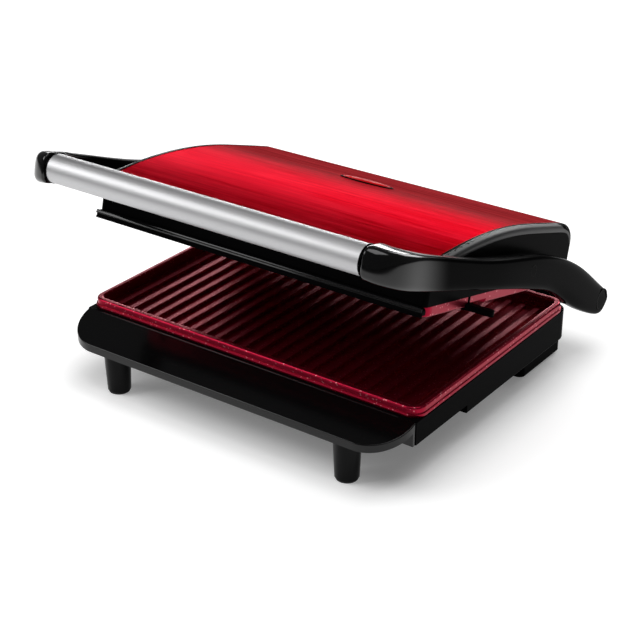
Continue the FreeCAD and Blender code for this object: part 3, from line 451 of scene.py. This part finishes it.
@dataclass(frozen=True)
class Mottled:
    """A plain finish with soft patches: rubber, insulator, sheet metal or board.

    Attributes:
        name: The material's name.
        first: One colour of the patches.
        second: The other colour.
        metallic: One for bare metal.
        roughness: Its mean roughness.
        scale: Patches per metre.
        relief: Depth of its texture.
        lift: Roughness that its patches add on average.
        finer: Grains of the texture along one patch.
    """

    name: str
    first: Colour
    second: Colour
    metallic: float
    roughness: float
    scale: float
    relief: float
    lift: float = 0.1
    finer: float = 12.0

    def material(self) -> bpy.types.Material:
        """The finished material."""
        graph = Graph(self.name)
        here = graph.place()
        patch = graph.noise(here, self.scale, 4.0)
        fine = graph.noise(here, self.scale * self.finer, 2.0)
        graph.set(Base_Color=graph.blend(patch, self.first, self.second), Metallic=self.metallic,
                  Roughness=patch * 0.12 + fine * 0.1 + (self.roughness - self.lift))
        graph.bump(fine, self.relief)
        return graph.material


@dataclass(frozen=True)
class LampPlastic:
    """Clear coloured plastic that glows faintly from the lamps below it.

    Attributes:
        name: The material's name.
        tone: Its colour.
        glow: The colour of its light.
        strength: How strongly it glows.
        spread: Half the distance between the lamps.
        ribs: Scale of the fine ribs in it.
        roughness: Its least roughness.
        shine: Strength of its reflection.
        far_glow: How bright it is half-way between the lamps.
        dim: The weakest glow, as a share of the strongest.
    """

    name: str
    tone: Colour
    glow: Colour
    strength: float
    spread: float
    ribs: float = 260.0
    roughness: float = 0.3
    shine: float = 0.02
    far_glow: float = 0.25
    dim: float = 0.3

    def material(self) -> bpy.types.Material:
        """The finished material."""
        graph = Graph(self.name)
        ribs = graph.node("ShaderNodeTexWave", {"wave_type": "BANDS", "bands_direction": "X"},
                          {"Vector": graph.place(), "Scale": self.ribs, "Distortion": 0.0})
        from_lamp = abs(abs(graph.axis("X")) - self.spread)
        near_lamp = graph.ramp(from_lamp, (0.0, self.spread), (1.0, self.far_glow), soft=False)
        dark = tuple(self.dim * c for c in self.glow)
        graph.set(Base_Color=graph.blend(ribs * 0.35, self.tone, self.glow), Specular_IOR_Level=self.shine,
                  Roughness=ribs * 0.08 + self.roughness, Emission_Strength=self.strength,
                  Emission_Color=graph.blend(near_lamp, dark, self.glow))
        return graph.material


def joint(name: str) -> dict[str, Any]:
    """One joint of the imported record.

    Args:
        name: The joint's name.

    Returns:
        Its entry in the record.
    """
    return next(entry for entry in frame["joints"] if entry["name"] == name)


HINGE = Vector(joint("handle_hinge")["pos_m"])
TILT = -math.radians(joint("handle_hinge")["range_deg"][0])
# From where the lid and the handle lie when closed to where they rest in the photograph
OPENED = Matrix.Translation(HINGE) @ Matrix.Rotation(-TILT, 4, "X") @ Matrix.Translation(-HINGE)


BLACK: Colour = (0.0018, 0.0018, 0.002)
DEEP_BLACK: Colour = (0.0012, 0.0012, 0.0013)


@dataclass(frozen=True)
class Finishes:
    """All finishes of the press: one for each material slot of the record, and some for single pieces."""

    satin_black: Moulding = Moulding("satin_black_moulding", (0.0022, 0.0022, 0.0024), 0.3, 900.0,
                                     0.000008, 0.006)
    gloss_black: Moulding = Moulding("gloss_black_moulding", DEEP_BLACK, 0.16, 260.0, 0.000002, 0.008)
    arm_black: Moulding = Moulding("arm_black_moulding", DEEP_BLACK, 0.16, 260.0, 0.000002, 0.007, 0.9)
    polished_black: Moulding = Moulding("polished_black_moulding", BLACK, 0.14, 260.0, 0.000003, 0.3)
    leg_black: Moulding = Moulding("leg_black_moulding", BLACK, 0.2, 260.0, 0.000003, 0.1)
    rolled_black: Moulding = Moulding("rolled_black_moulding", (0.006, 0.006, 0.0065), 0.42, 700.0,
                                      0.000006, 0.35)
    brushed_tube: Brushed = Brushed("brushed_tube", (0.61, 0.61, 0.62), Along.LENGTH, 0.5)
    bright_steel: Brushed = Brushed("bright_steel", (0.6, 0.6, 0.61), Along.ROUND, 0.3)
    sheet_metal: Mottled = Mottled("mill_sheet", (0.62, 0.62, 0.63), (0.74, 0.74, 0.75), 1.0, 0.35, 40.0,
                                   0.00002)
    red_cover: RedMetal = RedMetal("brushed_red_metal", (0.17, 0.003, 0.006), (0.45, 0.032, 0.038),
                                   (0.7, 0.36, 0.38), 0.33, TILT)
    coated_plate: NonStick = NonStick("wine_non_stick", (0.36, 0.008, 0.032), (0.8, 0.3, 0.34), 0.32, 0.88)
    soft_pad: Mottled = Mottled("soft_pad_rubber", (0.02, 0.02, 0.02), (0.045, 0.045, 0.045), 0.0, 0.8,
                                120.0, 0.00006)
    pale_insulator: Mottled = Mottled("pale_insulator", (0.72, 0.69, 0.62), (0.84, 0.82, 0.76), 0.0, 0.55,
                                      90.0, 0.00003)
    board: Mottled = Mottled("lamp_board", (0.06, 0.18, 0.08), (0.1, 0.26, 0.12), 0.0, 0.45, 150.0, 0.00002)
    red_lens: LampPlastic = LampPlastic("red_lens_plastic", (0.4, 0.002, 0.006), (0.8, 0.02, 0.02), 0.22,
                                        0.013)
    lamp_glass: LampPlastic = LampPlastic("lamp_glass", (0.8, 0.35, 0.2), (1.0, 0.5, 0.3), 0.4, 0.013)

    def by_slot(self) -> Materials:
        """Every material under the name of its finish."""
        return {slot: getattr(self, slot).material() for slot in self.__dataclass_fields__}


# Nodes with a finish of their own within their slot
OWN_FINISH = {"front_apron": "polished_black", "front_leg_left": "leg_black",
              "front_leg_right": "leg_black", "stop_pin": "gloss_black"}


def dress_nodes(materials: Materials) -> None:
    """Give every carried node the material of its slot, or its own finish.

    Args:
        materials: The materials by slot.
    """
    for part in frame["record"]["subparts"]:
        node = frame["nodes"][part["node"]]
        node.data.materials.clear()
        finish = OWN_FINISH.get(part["node"], part["material_slot"])
        node.data.materials.append(materials[finish])
        LOG.info("node %s takes %s", part["node"], finish)


@dataclass(frozen=True)
class Section:
    """One cross-section of a swept piece, as half-lengths from its centre.

    Attributes:
        centre: The middle of the section.
        across: From the middle to the outer side.
        up: From the middle to the top.
    """

    centre: Triple
    across: Triple
    up: Triple

    def matrix(self, side: int) -> Matrix:
        """Turn a unit square into this section.

        Args:
            side: One for the right, minus one for the left.

        Returns:
            The placing.
        """
        flip = Matrix.Diagonal((side * MM, MM, MM))
        across, up, centre = (flip @ Vector(v) for v in (self.across, self.up, self.centre))
        normal = across.cross(up).normalized()
        placing = Matrix((across, up, normal)).transposed().to_4x4()
        placing.translation = centre
        return placing


class Shape:
    """A mesh in the making, shaped by mesh operators."""

    def __init__(self) -> None:
        """Start with an empty mesh."""
        self.mesh = bmesh.new()

    def swept(self, sections: Sequence[Section], side: int, corners: Pair) -> "Shape":
        """Carry a rounded square through sections.

        Args:
            sections: The sections in order.
            side: One for the right, minus one for the left.
            corners: Rounding of the inner and of the outer corners, as shares of the half-lengths.

        Returns:
            This shape.
        """
        made = bmesh.ops.create_grid(self.mesh, x_segments=1, y_segments=1, size=1.0)
        for sign, size in zip((-1.0, 1.0), corners):
            ends = [v for v in made["verts"]
                    if v.is_valid and v.co.x * sign > CORNER and abs(v.co.y) > CORNER]
            bmesh.ops.bevel(self.mesh, geom=ends, offset=size, offset_type="OFFSET", segments=EDGE_STEPS,
                            profile=0.5, affect="VERTICES", material=-1)
        made, edges = self.mesh.verts[:], self.mesh.edges[:]
        last = Matrix.Identity(4)
        for number, section in enumerate(sections):
            if number:
                made, edges = self._grown(edges)
            place = section.matrix(side)
            bmesh.ops.transform(self.mesh, matrix=place @ last.inverted(), verts=made)
            last = place
        bmesh.ops.contextual_create(self.mesh, geom=edges)
        return self

    def _grown(self, edges: list[bmesh.types.BMEdge]
               ) -> tuple[list[bmesh.types.BMVert], list[bmesh.types.BMEdge]]:
        """Extrude a loop of edges.

        Args:
            edges: The loop.

        Returns:
            The vertices and the edges of the new loop.
        """
        grown = bmesh.ops.extrude_edge_only(self.mesh, edges=edges)["geom"]
        return ([item for item in grown if isinstance(item, bmesh.types.BMVert)],
                [item for item in grown if isinstance(item, bmesh.types.BMEdge)])

    def turned(self, profile: Sequence[Pair], place: Matrix) -> "Shape":
        """Spin a profile once round.

        Args:
            profile: Radius and height of its points, from the edge to the axis.
            place: Where the axis goes, with Z along it.

        Returns:
            This shape.
        """
        points = [self.mesh.verts.new((radius * MM, 0.0, height * MM)) for radius, height in profile]
        edges = [self.mesh.edges.new(pair) for pair in zip(points, points[1:])]
        bmesh.ops.spin(self.mesh, geom=points + edges, cent=(0.0, 0.0, 0.0), axis=(0.0, 0.0, 1.0),
                       angle=2.0 * math.pi, steps=TURN_STEPS, use_merge=True)
        bmesh.ops.remove_doubles(self.mesh, verts=self.mesh.verts, dist=MERGE)
        bmesh.ops.transform(self.mesh, matrix=place, verts=self.mesh.verts)
        return self

    def ringed(self, rings: Sequence[Triple], place: Matrix, closed: bool) -> "Shape":
        """Grow an oval ring through other ovals.

        Args:
            rings: Half-length, half-width and height of each oval.
            place: Where they go.
            closed: Whether the last oval gets a face.

        Returns:
            This shape.
        """
        made = bmesh.ops.create_circle(self.mesh, cap_ends=False, radius=1.0, segments=OVAL_STEPS)["verts"]
        edges = list({edge for vert in made for edge in vert.link_edges})
        last = Matrix.Identity(4)
        for number, (length, width, height) in enumerate(rings):
            if number:
                made, edges = self._grown(edges)
            oval = (place @ Matrix.Translation((0.0, 0.0, height * MM))
                    @ Matrix.Diagonal((length * MM, width * MM, 1.0, 1.0)))
            bmesh.ops.transform(self.mesh, matrix=oval @ last.inverted(), verts=made)
            last = oval
        if closed:
            bmesh.ops.contextual_create(self.mesh, geom=edges)
        return self

    def bar(self, low: Sequence[float], high: Sequence[float], edge: float,
            place: Matrix = Matrix.Identity(4)) -> "Shape":
        """Add a box with rounded edges.

        Args:
            low: Its lowest corner.
            high: Its highest corner.
            edge: Rounding of its edges.
            place: Where its frame goes.

        Returns:
            This shape.
        """
        size = [(b - a) * MM for a, b in zip(low, high)]
        middle = [(a + b) / 2.0 * MM for a, b in zip(low, high)]
        put = place @ Matrix.Translation(middle) @ Matrix.Diagonal((*size, 1.0))
        made = bmesh.ops.create_cube(self.mesh, size=1.0, matrix=put)["verts"]
        edges = list({item for vert in made for item in vert.link_edges})
        bmesh.ops.bevel(self.mesh, geom=edges, offset=edge * MM, offset_type="OFFSET", segments=EDGE_STEPS,
                        profile=0.5, affect="EDGES", material=-1)
        return self

    def band(self, low: Sequence[float], high: Sequence[float], corner: float,
             steps: Sequence[Pair]) -> "Shape":
        """Lay a band round a rectangle with rounded corners.

        Args:
            low: Its lowest corner in plan.
            high: Its highest corner in plan.
            corner: Radius of its corners.
            steps: How far out and how high each line of the band runs.

        Returns:
            This shape.
        """
        half = [(b - a) / 2.0 for a, b in zip(low, high)]
        middle = [(a + b) / 2.0 for a, b in zip(low, high)]
        made = bmesh.ops.create_grid(self.mesh, x_segments=1, y_segments=1, size=1.0)["verts"]
        bmesh.ops.scale(self.mesh, vec=(half[0] * MM, half[1] * MM, 1.0), verts=made)
        bmesh.ops.bevel(self.mesh, geom=made, offset=corner * MM, offset_type="OFFSET",
                        segments=CORNER_STEPS, profile=0.5, affect="VERTICES", material=-1)
        made, edges = self.mesh.verts[:], self.mesh.edges[:]
        bmesh.ops.delete(self.mesh, geom=self.mesh.faces[:], context="FACES_ONLY")
        last = Matrix.Identity(4)
        for number, (out, height) in enumerate(steps):
            if number:
                made, edges = self._grown(edges)
            put = (Matrix.Translation((middle[0] * MM, middle[1] * MM, height * MM))
                   @ Matrix.Diagonal((1.0 + out / half[0], 1.0 + out / half[1], 1.0, 1.0)))
            bmesh.ops.transform(self.mesh, matrix=put @ last.inverted(), verts=made)
            last = put
        return self

    def move(self, place: Matrix) -> "Shape":
        """Place the whole shape."""
        bmesh.ops.transform(self.mesh, matrix=place, verts=self.mesh.verts)
        return self

    def piece(self, name: str, material: bpy.types.Material, body: str, slot: str,
              smooth: int = 0) -> bpy.types.Object:
        """Turn the shape into a piece that rides on a body.

        Args:
            name: The piece's name.
            material: Its finish.
            body: The body that it rides on.
            slot: The record's slot of its finish; not used.
            smooth: Levels of subdivision.

        Returns:
            The new object.
        """
        bmesh.ops.recalc_face_normals(self.mesh, faces=self.mesh.faces)
        data = bpy.data.meshes.new(name)
        self.mesh.to_mesh(data)
        self.mesh.free()
        data.materials.append(material)
        data.shade_smooth()
        if not smooth:
            data.set_sharp_from_angle(angle=CREASE)
        made = bpy.data.objects.new(name, data)
        bpy.context.scene.collection.objects.link(made)
        if smooth:
            rounding = made.modifiers.new("rounding", "SUBSURF")
            rounding.levels = rounding.render_levels = smooth
        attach(made, body)
        LOG.info("piece %s rides on %s", name, body)
        return made


class Side(Enum):
    """The two sides of the press."""

    RIGHT = 1
    LEFT = -1

    def named(self, stem: str) -> str:
        """A piece's name on this side."""
        return f"{stem}_{self.name.lower()}"


def facing_out(side: Side, across: float, centre: Sequence[float]) -> Matrix:
    """A place whose Z points out of one side of the press.

    Args:
        side: The side.
        across: Distance from the middle of the press.
        centre: Its Y and Z.

    Returns:
        The placing.
    """
    turn = Matrix.Rotation(side.value * math.pi / 2.0, 4, "Y")
    return Matrix.Translation((side.value * across * MM, *centre)) @ turn


@dataclass
class Handle:
    """Swept arms and dished caps, drawn with the lid closed and then opened.

    Attributes:
        sections: The right arm from the tube's end to its tail: the middle, then X and Y to its outer
            side, then Y and Z to its top.
        corners: Rounding of the arm's inner and outer corners.
        knuckle: Profile of the hinge knuckle, from its inner end.
        knuckle_end: Distance from the middle to where the knuckle starts.
        outer: Distance from the middle to the arms' outer faces.
        cap_edge: The caps' rounded outer edge: how far in from the radius, and how far down.
        cap_lip: Width of their raised lip, as a share of the radius.
        cap_dish: The slope inside the lip: how far in from the lip, and how far down.
        cap_floor: The dished middle: share of the radius, and how far down.
    """

    sections: tuple[tuple[float, ...], ...] = (
        (136.0, -166.5, 108.6, 0.0, -11.6, 0.0, 11.6), (137.6, -166.4, 108.5, 0.2, -11.6, 0.0, 11.6),
        (145.3, -164.2, 107.2, 2.2, -11.4, 0.0, 11.9), (151.9, -157.0, 105.6, 5.4, -9.5, 0.0, 12.2),
        (155.1, -146.0, 103.8, 5.4, -6.0, 0.0, 12.3), (156.0, -132.0, 101.7, 4.6, -2.6, 0.0, 12.1),
        (156.7, -114.0, 99.4, 4.4, -0.8, 0.0, 11.8), (157.3, -90.0, 96.3, 4.9, 0.0, 0.0, 11.3),
        (157.9, -60.0, 92.7, 5.5, 0.0, 0.0, 10.9), (158.6, -30.0, 90.0, 6.2, 0.0, 0.0, 11.4),
        (158.6, 0.0, 87.5, 6.4, 0.0, 0.5, 12.2), (158.6, 26.0, 84.8, 6.4, 0.0, 2.0, 13.2),
        (158.6, 51.0, 80.8, 6.4, 0.0, 5.5, 12.0), (158.6, 72.0, 75.0, 6.4, 0.0, 8.5, 12.0),
        (158.6, 93.0, 67.0, 6.4, 0.0, 11.0, 11.8), (158.6, 113.0, 57.9, 6.4, 0.0, 12.4, 10.8),
        (158.6, 131.0, 50.8, 6.4, 0.0, 11.6, 9.6), (158.6, 144.3, 46.4, 6.4, 0.0, 9.4, 9.2),
        (158.6, 150.8, 43.9, 6.4, 0.0, 6.2, 8.4), (158.6, 153.5, 42.9, 5.2, 0.0, 3.6, 6.0))
    corners: Pair = (0.35, 0.6)
    knuckle: tuple[Pair, ...] = (
        (7.0, 0.0), (10.6, 0.0), (11.3, 0.3), (11.5, 0.9), (11.5, 25.0), (7.0, 25.0))
    knuckle_end: float = 129.0
    outer: float = 165.0
    cap_edge: tuple[Pair, ...] = ((0.0, 0.35), (0.12, 0.1), (0.35, 0.0))
    cap_lip: float = 0.14
    cap_dish: tuple[Pair, ...] = ((0.0, 0.0), (0.3, 0.15), (0.5, 0.55))
    cap_floor: tuple[Pair, ...] = ((0.3, 0.75), (0.0, 0.8))

    def arm(self, side: Side, materials: Materials) -> None:
        """Sweep one arm and add its hinge knuckle.

        Args:
            side: The side.
            materials: The materials by slot.
        """
        path = [Section(row[:3], (*row[3:5], 0.0), (0.0, *row[5:])) for row in self.sections]
        arm = Shape().swept(path, side.value, self.corners).move(OPENED)
        made = arm.piece(side.named("arm_moulding"), materials["arm_black"], "handle", "gloss_black",
                         smooth=2)
        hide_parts(side.named("arm"))
        place = facing_out(side, self.knuckle_end, (HINGE.y, HINGE.z))
        knuckle = Shape().turned(self.knuckle, place)
        knuckle.piece(side.named("hinge_knuckle"), materials["gloss_black"], "handle", "gloss_black")

    def cap(self, stem: str, side: Side, materials: Materials) -> None:
        """Turn one dished cap in the place of its node.

        Args:
            stem: The node's name without its side.
            side: The side.
            materials: The materials by slot.
        """
        low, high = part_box(side.named(stem))
        radius = (high.y - low.y) / 2.0 / MM
        depth = (high.x - low.x) / MM
        inner = radius - self.cap_lip * radius
        profile = ((radius, 0.0), *((radius - inward, depth - down) for inward, down in self.cap_edge),
                   *((inner - inward, depth - down) for inward, down in self.cap_dish),
                   *((share * radius, depth - down) for share, down in self.cap_floor))
        middle = (low + high) / 2.0
        cap = Shape().turned(profile, facing_out(side, self.outer - depth, (middle.y, middle.z)))
        made = cap.piece(side.named(f"{stem}_dished"), materials["gloss_black"], "handle", "gloss_black")
        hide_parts(side.named(stem))

    def build(self, materials: Materials) -> None:
        """Build every piece of the handle."""
        for side in Side:
            self.arm(side, materials)
            self.cap("hinge_cap", side, materials)
            self.cap("pivot_cap", side, materials)


@dataclass
class Lid:
    """Lamp window, seams, rolled ends and edge strips of the lid, drawn closed and then opened.

    Attributes:
        lens_place: The middle of the lamp window on the cover, in metres.
        lens_fall: Slope of the cover there.
        lens_rings: Half-length, half-width and height of the window's ovals.
        bezel_rings: The same for the ring round it.
        seam_across: Distance from the middle to the seam between cover and end.
        seam_path: Y and Z of the seam from the front edge over the crown to the rear.
        seam_half: Half the seam's width.
        seam_lean: Half the seam's height along Y and along Z, as a share of its width.
        seam_corners: Rounding of the seam's inner and outer corners.
        drip_low: Lowest corner of the drip edge under the flange.
        drip_high: Its highest corner.
        drip_round: Rounding of its edges.
        roll_across: Distance from the middle to the axis of the ends' rolled edge.
        roll_radius: Radius of the rolled edge.
        roll_proud: How far it stands out of the end.
        roll_corners: Rounding of its inner and outer corners.
        strip_half: Half-lengths of the polished strip on the flange's upper edge.
        strip_place: Its middle.
        strip_lean: How far it leans back.
        strip_round: Rounding of its edges.
    """

    lens_place: Vector = field(default_factory=lambda: Vector((0.0, 0.0355, 0.11415)))
    lens_fall: float = math.atan(0.08)
    lens_rings: tuple[Triple, ...] = (
        (22.3, 5.6, -1.2), (22.3, 5.6, 0.3), (21.8, 5.3, 0.9), (20.0, 4.7, 1.35), (14.0, 3.3, 1.75),
        (6.0, 1.4, 1.9))
    bezel_rings: tuple[Triple, ...] = (
        (24.6, 7.3, -0.8), (24.5, 7.2, 0.3), (24.2, 6.9, 0.65), (23.5, 6.4, 0.8), (22.8, 5.95, 0.65),
        (22.4, 5.7, 0.0), (22.4, 5.7, -1.0))
    seam_across: float = 139.6
    seam_path: tuple[Pair, ...] = (
        (-103.9, 92.6), (-103.9, 94.8), (-103.4, 97.2), (-101.6, 99.1), (-96.0, 100.6), (-88.0, 102.5),
        (-70.0, 106.6), (-50.0, 110.3), (-30.0, 113.0), (-10.0, 114.7), (10.0, 115.3), (30.0, 114.7),
        (45.0, 113.6), (70.0, 111.7), (91.0, 110.1), (99.0, 108.3), (105.0, 104.2), (108.9, 98.6),
        (109.95, 92.6))
    seam_half: float = 0.45
    seam_lean: float = 0.7
    seam_corners: Pair = (0.5, 0.5)
    drip_low: Triple = (-145.6, -107.2, 64.8)
    drip_high: Triple = (145.6, -104.6, 66.5)
    drip_round: float = 0.5
    roll_across: float = 141.15
    roll_radius: float = 4.75
    roll_proud: float = 0.1
    roll_corners: Pair = (0.9, 0.9)
    strip_half: Triple = (145.6, 0.35, 1.4)
    strip_place: Triple = (0.0, -106.75, 69.8)
    strip_lean: float = math.radians(25.0)
    strip_round: float = 0.25

    def lens(self, materials: Materials) -> None:
        """Grow the lamp window and the ring round it."""
        place = OPENED @ Matrix.Translation(self.lens_place) @ Matrix.Rotation(-self.lens_fall, 4, "X")
        window = Shape().ringed(self.lens_rings, place, True)
        made = window.piece("lamp_window", materials["red_lens"], "lid", "red_lens")
        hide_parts("pilot_lens")
        bezel = Shape().ringed(self.bezel_rings, place, False)
        bezel.piece("lamp_ring", materials["satin_black"], "lid", "satin_black")

    def seam(self, side: Side, materials: Materials) -> None:
        """Run a thin bead along the seam between the cover and one end."""
        half, rise = self.seam_half, self.seam_lean * self.seam_half
        path = tuple(Section((self.seam_across, y, z), (half, 0.0, 0.0), (0.0, rise, rise))
                     for y, z in self.seam_path)
        bead = Shape().swept(path, side.value, self.seam_corners).move(OPENED)
        bead.piece(side.named("cover_seam"), materials["gloss_black"], "lid", "gloss_black", smooth=1)

    def roll(self, side: Side, materials: Materials) -> None:
        """Lay the rolled upper edge along one end of the lid.

        Args:
            side: The side.
            materials: The materials by slot.
        """
        points = [Vector((0.0, y, z)) for y, z in self.seam_path]
        quarter = Matrix.Rotation(math.pi / 2.0, 3, "X")
        path = []
        for before, point, after in zip(points[:1] + points, points, points[1:] + points[-1:]):
            out = quarter @ (after - before).normalized()
            centre = point - out * (self.roll_radius - self.roll_proud)
            path.append(Section((self.roll_across, centre.y, centre.z), (self.roll_radius, 0.0, 0.0),
                                tuple(out * self.roll_radius)))
        made = Shape().swept(path, side.value, self.roll_corners).move(OPENED)
        made.piece(side.named("end_roll"), materials["rolled_black"], "lid", "satin_black", smooth=1)

    def build(self, materials: Materials) -> None:
        """Build every piece of the lid."""
        self.lens(materials)
        for side in Side:
            self.seam(side, materials)
            self.roll(side, materials)
        drip = Shape().bar(self.drip_low, self.drip_high, self.drip_round, OPENED)
        drip.piece("drip_edge", materials["satin_black"], "lid", "satin_black")
        place = (OPENED @ Matrix.Translation(Vector(self.strip_place) * MM)
                 @ Matrix.Rotation(-self.strip_lean, 4, "X"))
        strip = Shape().bar([-c for c in self.strip_half], self.strip_half, self.strip_round, place)
        strip.piece("flange_strip", materials["polished_black"], "lid", "gloss_black")


@dataclass
class Base:
    """Seam, beads and rim step of the base.

    Attributes:
        plate_low: Front left corner of the lower plate, in plan.
        plate_high: Its rear right corner.
        plate_corner: Radius of its corners.
        step: Lines of the step round the plate's rim, out and up.
        tray_half: Half the tray's width.
        tray_front: Y of the tray's front edge.
        tray_rear: Y of its rear edge.
        tray_top: Height of its upper edge.
        tray_corner: Length of the corners that the beads leave free.
        bead: Half the thickness of the beads on it.
        bead_rise: How far the beads rise above the edge, as a share of that.
        bead_round: Rounding of the beads' edges.
        bead_inset: Distance of the side beads' axis from the tray's side.
    """

    plate_low: Pair = (-150.0, -101.5)
    plate_high: Pair = (150.0, 108.5)
    plate_corner: float = 10.0
    step: tuple[Pair, ...] = (
        (-0.2, 50.6), (0.55, 50.7), (0.7, 51.0), (0.7, 53.3), (0.5, 53.6), (-0.2, 53.8))
    tray_half: float = 151.0
    tray_front: float = -104.9
    tray_rear: float = 114.8
    tray_top: float = 50.5
    tray_corner: float = 15.0
    bead: float = 0.5
    bead_rise: float = 0.6
    bead_round: float = 0.35
    bead_inset: float = 0.35

    def beads(self, materials: Materials) -> None:
        """Lay beads along the apron's seam and the tray's side edges."""
        low, high = self.tray_top - self.bead, self.tray_top + self.bead_rise * self.bead
        half = self.tray_half - self.tray_corner
        front = Shape().bar((-half, self.tray_front - self.bead, low),
                            (half, self.tray_front + self.bead, high), self.bead_round)
        front.piece("apron_seam", materials["polished_black"], "base", "gloss_black")
        for side in Side:
            edge = side.value * (self.tray_half - self.bead_inset)
            bar = Shape().bar((edge - self.bead, self.tray_front + self.tray_corner, low),
                              (edge + self.bead, self.tray_rear - self.tray_corner, high), self.bead_round)
            bar.piece(side.named("tray_bead"), materials["satin_black"], "base", "satin_black")

    def rim_step(self, materials: Materials) -> None:
        """Lay the step round the lower plate's rim."""
        band = Shape().band(self.plate_low, self.plate_high, self.plate_corner, self.step)
        band.piece("rim_step", materials["coated_plate"], "base", "coated_plate")

    def build(self, materials: Materials) -> None:
        """Build every piece of the base."""
        self.beads(materials)
        self.rim_step(materials)


@dataclass
class Lamp:
    """One soft box.

    Attributes:
        name: The lamp's name.
        place: Where it hangs.
        aim: What it points at.
        size: Its width and height.
        power: Its power in watts.
    """

    name: str
    place: Triple
    aim: Triple
    size: Pair
    power: float

    def hang(self) -> None:
        """Add the lamp to the scene."""
        data = bpy.data.lights.new(self.name, "AREA")
        data.shape = "RECTANGLE"
        data.size, data.size_y = self.size
        data.energy = self.power
        lamp = bpy.data.objects.new(self.name, data)
        look = Vector(self.aim) - Vector(self.place)
        turn = look.to_track_quat("-Z", "Y").to_matrix().to_4x4()
        lamp.matrix_world = Matrix.Translation(self.place) @ turn
        bpy.context.scene.collection.objects.link(lamp)


@dataclass
class Studio:
    """Floor, lamps, surroundings and the camera of the photograph.

    Attributes:
        eye: The camera's place.
        gaze: Its direction of view.
        lens: Its focal length in millimetres.
        sensor: Width of its sensor in millimetres.
        sight: How far it sees.
        floor_half: Half the floor's side.
        floor_tone: The floor's colour.
        far_painted_shade: Its colour far from the press, darkened there as painted shade.
        glow: The floor's lift to white near the press, kept low there as painted shade, and away from it.
        painted_shade_reach: Distance from the press over which that changes.
        stand: Half-width, half-depth and depth centre of what stands on the floor.
        floor_end: Distances from the press where the floor's painted shade starts, and where it is whole.
        ambient: Strength of the surrounding light.
        lamps: The soft boxes.
    """

    eye: Vector = field(default_factory=lambda: Vector((0.63502, -0.88770, 0.59585)))
    gaze: Vector = field(default_factory=lambda: Vector((-0.52144, 0.72298, -0.45321)))
    lens: float = 88.58
    sensor: float = 36.0
    sight: float = 30.0
    floor_half: float = 6.0
    floor_tone: float = 0.9
    # Painted shade far from the press darkens the floor to this.
    far_painted_shade: float = 0.2
    # The lower lift near the press is painted shade under it.
    glow: Pair = (0.16, 0.5)
    painted_shade_reach: float = 0.06
    stand: Triple = (0.125, 0.11, 0.01)
    floor_end: Pair = (1.25, 1.8)
    ambient: float = 0.1
    lamps: tuple[Lamp, ...] = (
        Lamp("overhead_box", (0.3, -0.1, 2.4), (0.0, 0.0, 0.0), (1.6, 1.4), 22.0),
        Lamp("front_left_box", (-1.35, -1.15, 1.35), (0.0, -0.05, 0.12), (1.2, 1.0), 19.0),
        Lamp("rear_left_box", (-1.75, 2.5, 0.66), (0.0, 0.0, 0.12), (2.0, 0.36), 24.0),
        Lamp("rear_box", (0.15, 2.4, 1.1), (0.0, 0.0, 0.12), (1.4, 1.0), 24.0))

    def camera(self) -> None:
        """Place the camera and make it the scene's."""
        data = bpy.data.cameras.new("photo_view")
        data.lens = self.lens
        data.sensor_fit = "HORIZONTAL"
        data.sensor_width = self.sensor
        data.clip_end = self.sight
        camera = bpy.data.objects.new("photo_view", data)
        turn = self.gaze.to_track_quat("-Z", "Y").to_matrix().to_4x4()
        camera.matrix_world = Matrix.Translation(self.eye) @ turn
        bpy.context.scene.collection.objects.link(camera)
        bpy.context.scene.camera = camera

    def floor(self) -> None:
        """Lay a pale floor lifted to white away from the press, with painted shade near it and far off."""
        mesh = bmesh.new()
        bmesh.ops.create_grid(mesh, x_segments=1, y_segments=1, size=self.floor_half)
        data = bpy.data.meshes.new("studio_floor")
        mesh.to_mesh(data)
        mesh.free()
        floor = bpy.data.objects.new("studio_floor", data)
        bpy.context.scene.collection.objects.link(floor)
        graph = Graph("studio_floor_paper")
        paper = graph.noise(graph.place(), 3.0, 2.0)
        x, y = graph.axis("X"), graph.axis("Y")
        half_width, half_depth, centre = self.stand
        beside = (abs(x) - half_width).at_least(0.0)
        beyond = (abs(y - centre) - half_depth).at_least(0.0)
        away = (beside * beside + beyond * beyond).root()
        # The lift is kept low under and round the press: painted shade on top of its real shadow.
        lift = graph.ramp(away, (0.0, self.painted_shade_reach), self.glow)
        # Far from the press the floor darkens and loses its lift: a painted falloff of the light.
        painted_falloff = graph.ramp((x * x + y * y).root(), self.floor_end, (1.0, 0.0))
        seen = graph.node("ShaderNodeLightPath", output="Is Camera Ray")
        mirrored = graph.node("ShaderNodeLightPath", output="Is Glossy Ray")
        through = graph.node("ShaderNodeLightPath", output="Is Transmission Ray")
        pale = (self.floor_tone,) * 3
        dim = (self.far_painted_shade,) * 3
        white = graph.blend((seen + mirrored + through) * lift * painted_falloff, (0.0, 0.0, 0.0), (1.0, 1.0, 1.0))
        graph.set(Base_Color=graph.blend(painted_falloff * (paper * 0.02 + 0.98), dim, pale), Roughness=0.9,
                  Specular_IOR_Level=0.0, Emission_Strength=1.0, Emission_Color=white)
        data.materials.append(graph.material)

    def surroundings(self) -> None:
        """Set the soft surrounding light."""
        world = bpy.data.worlds.new("studio_world")
        world.use_nodes = True
        back = world.node_tree.nodes["Background"]
        back.inputs["Color"].default_value = (1.0, 1.0, 1.0, 1.0)
        back.inputs["Strength"].default_value = self.ambient
        bpy.context.scene.world = world

    def build(self) -> None:
        """Set up the whole studio."""
        self.camera()
        self.floor()
        self.surroundings()
        for lamp in self.lamps:
            lamp.hang()
        bpy.context.scene.view_settings.view_transform = "Standard"


def main() -> None:
    """Build every sub-assembly in order."""
    logging.basicConfig(level=logging.INFO, format="%(name)s: %(message)s")
    materials = Finishes().by_slot()
    dress_nodes(materials)
    for assembly in (Base(), Handle(), Lid()):
        assembly.build(materials)
    Studio().build()


if __name__ == "__main__":
    main()
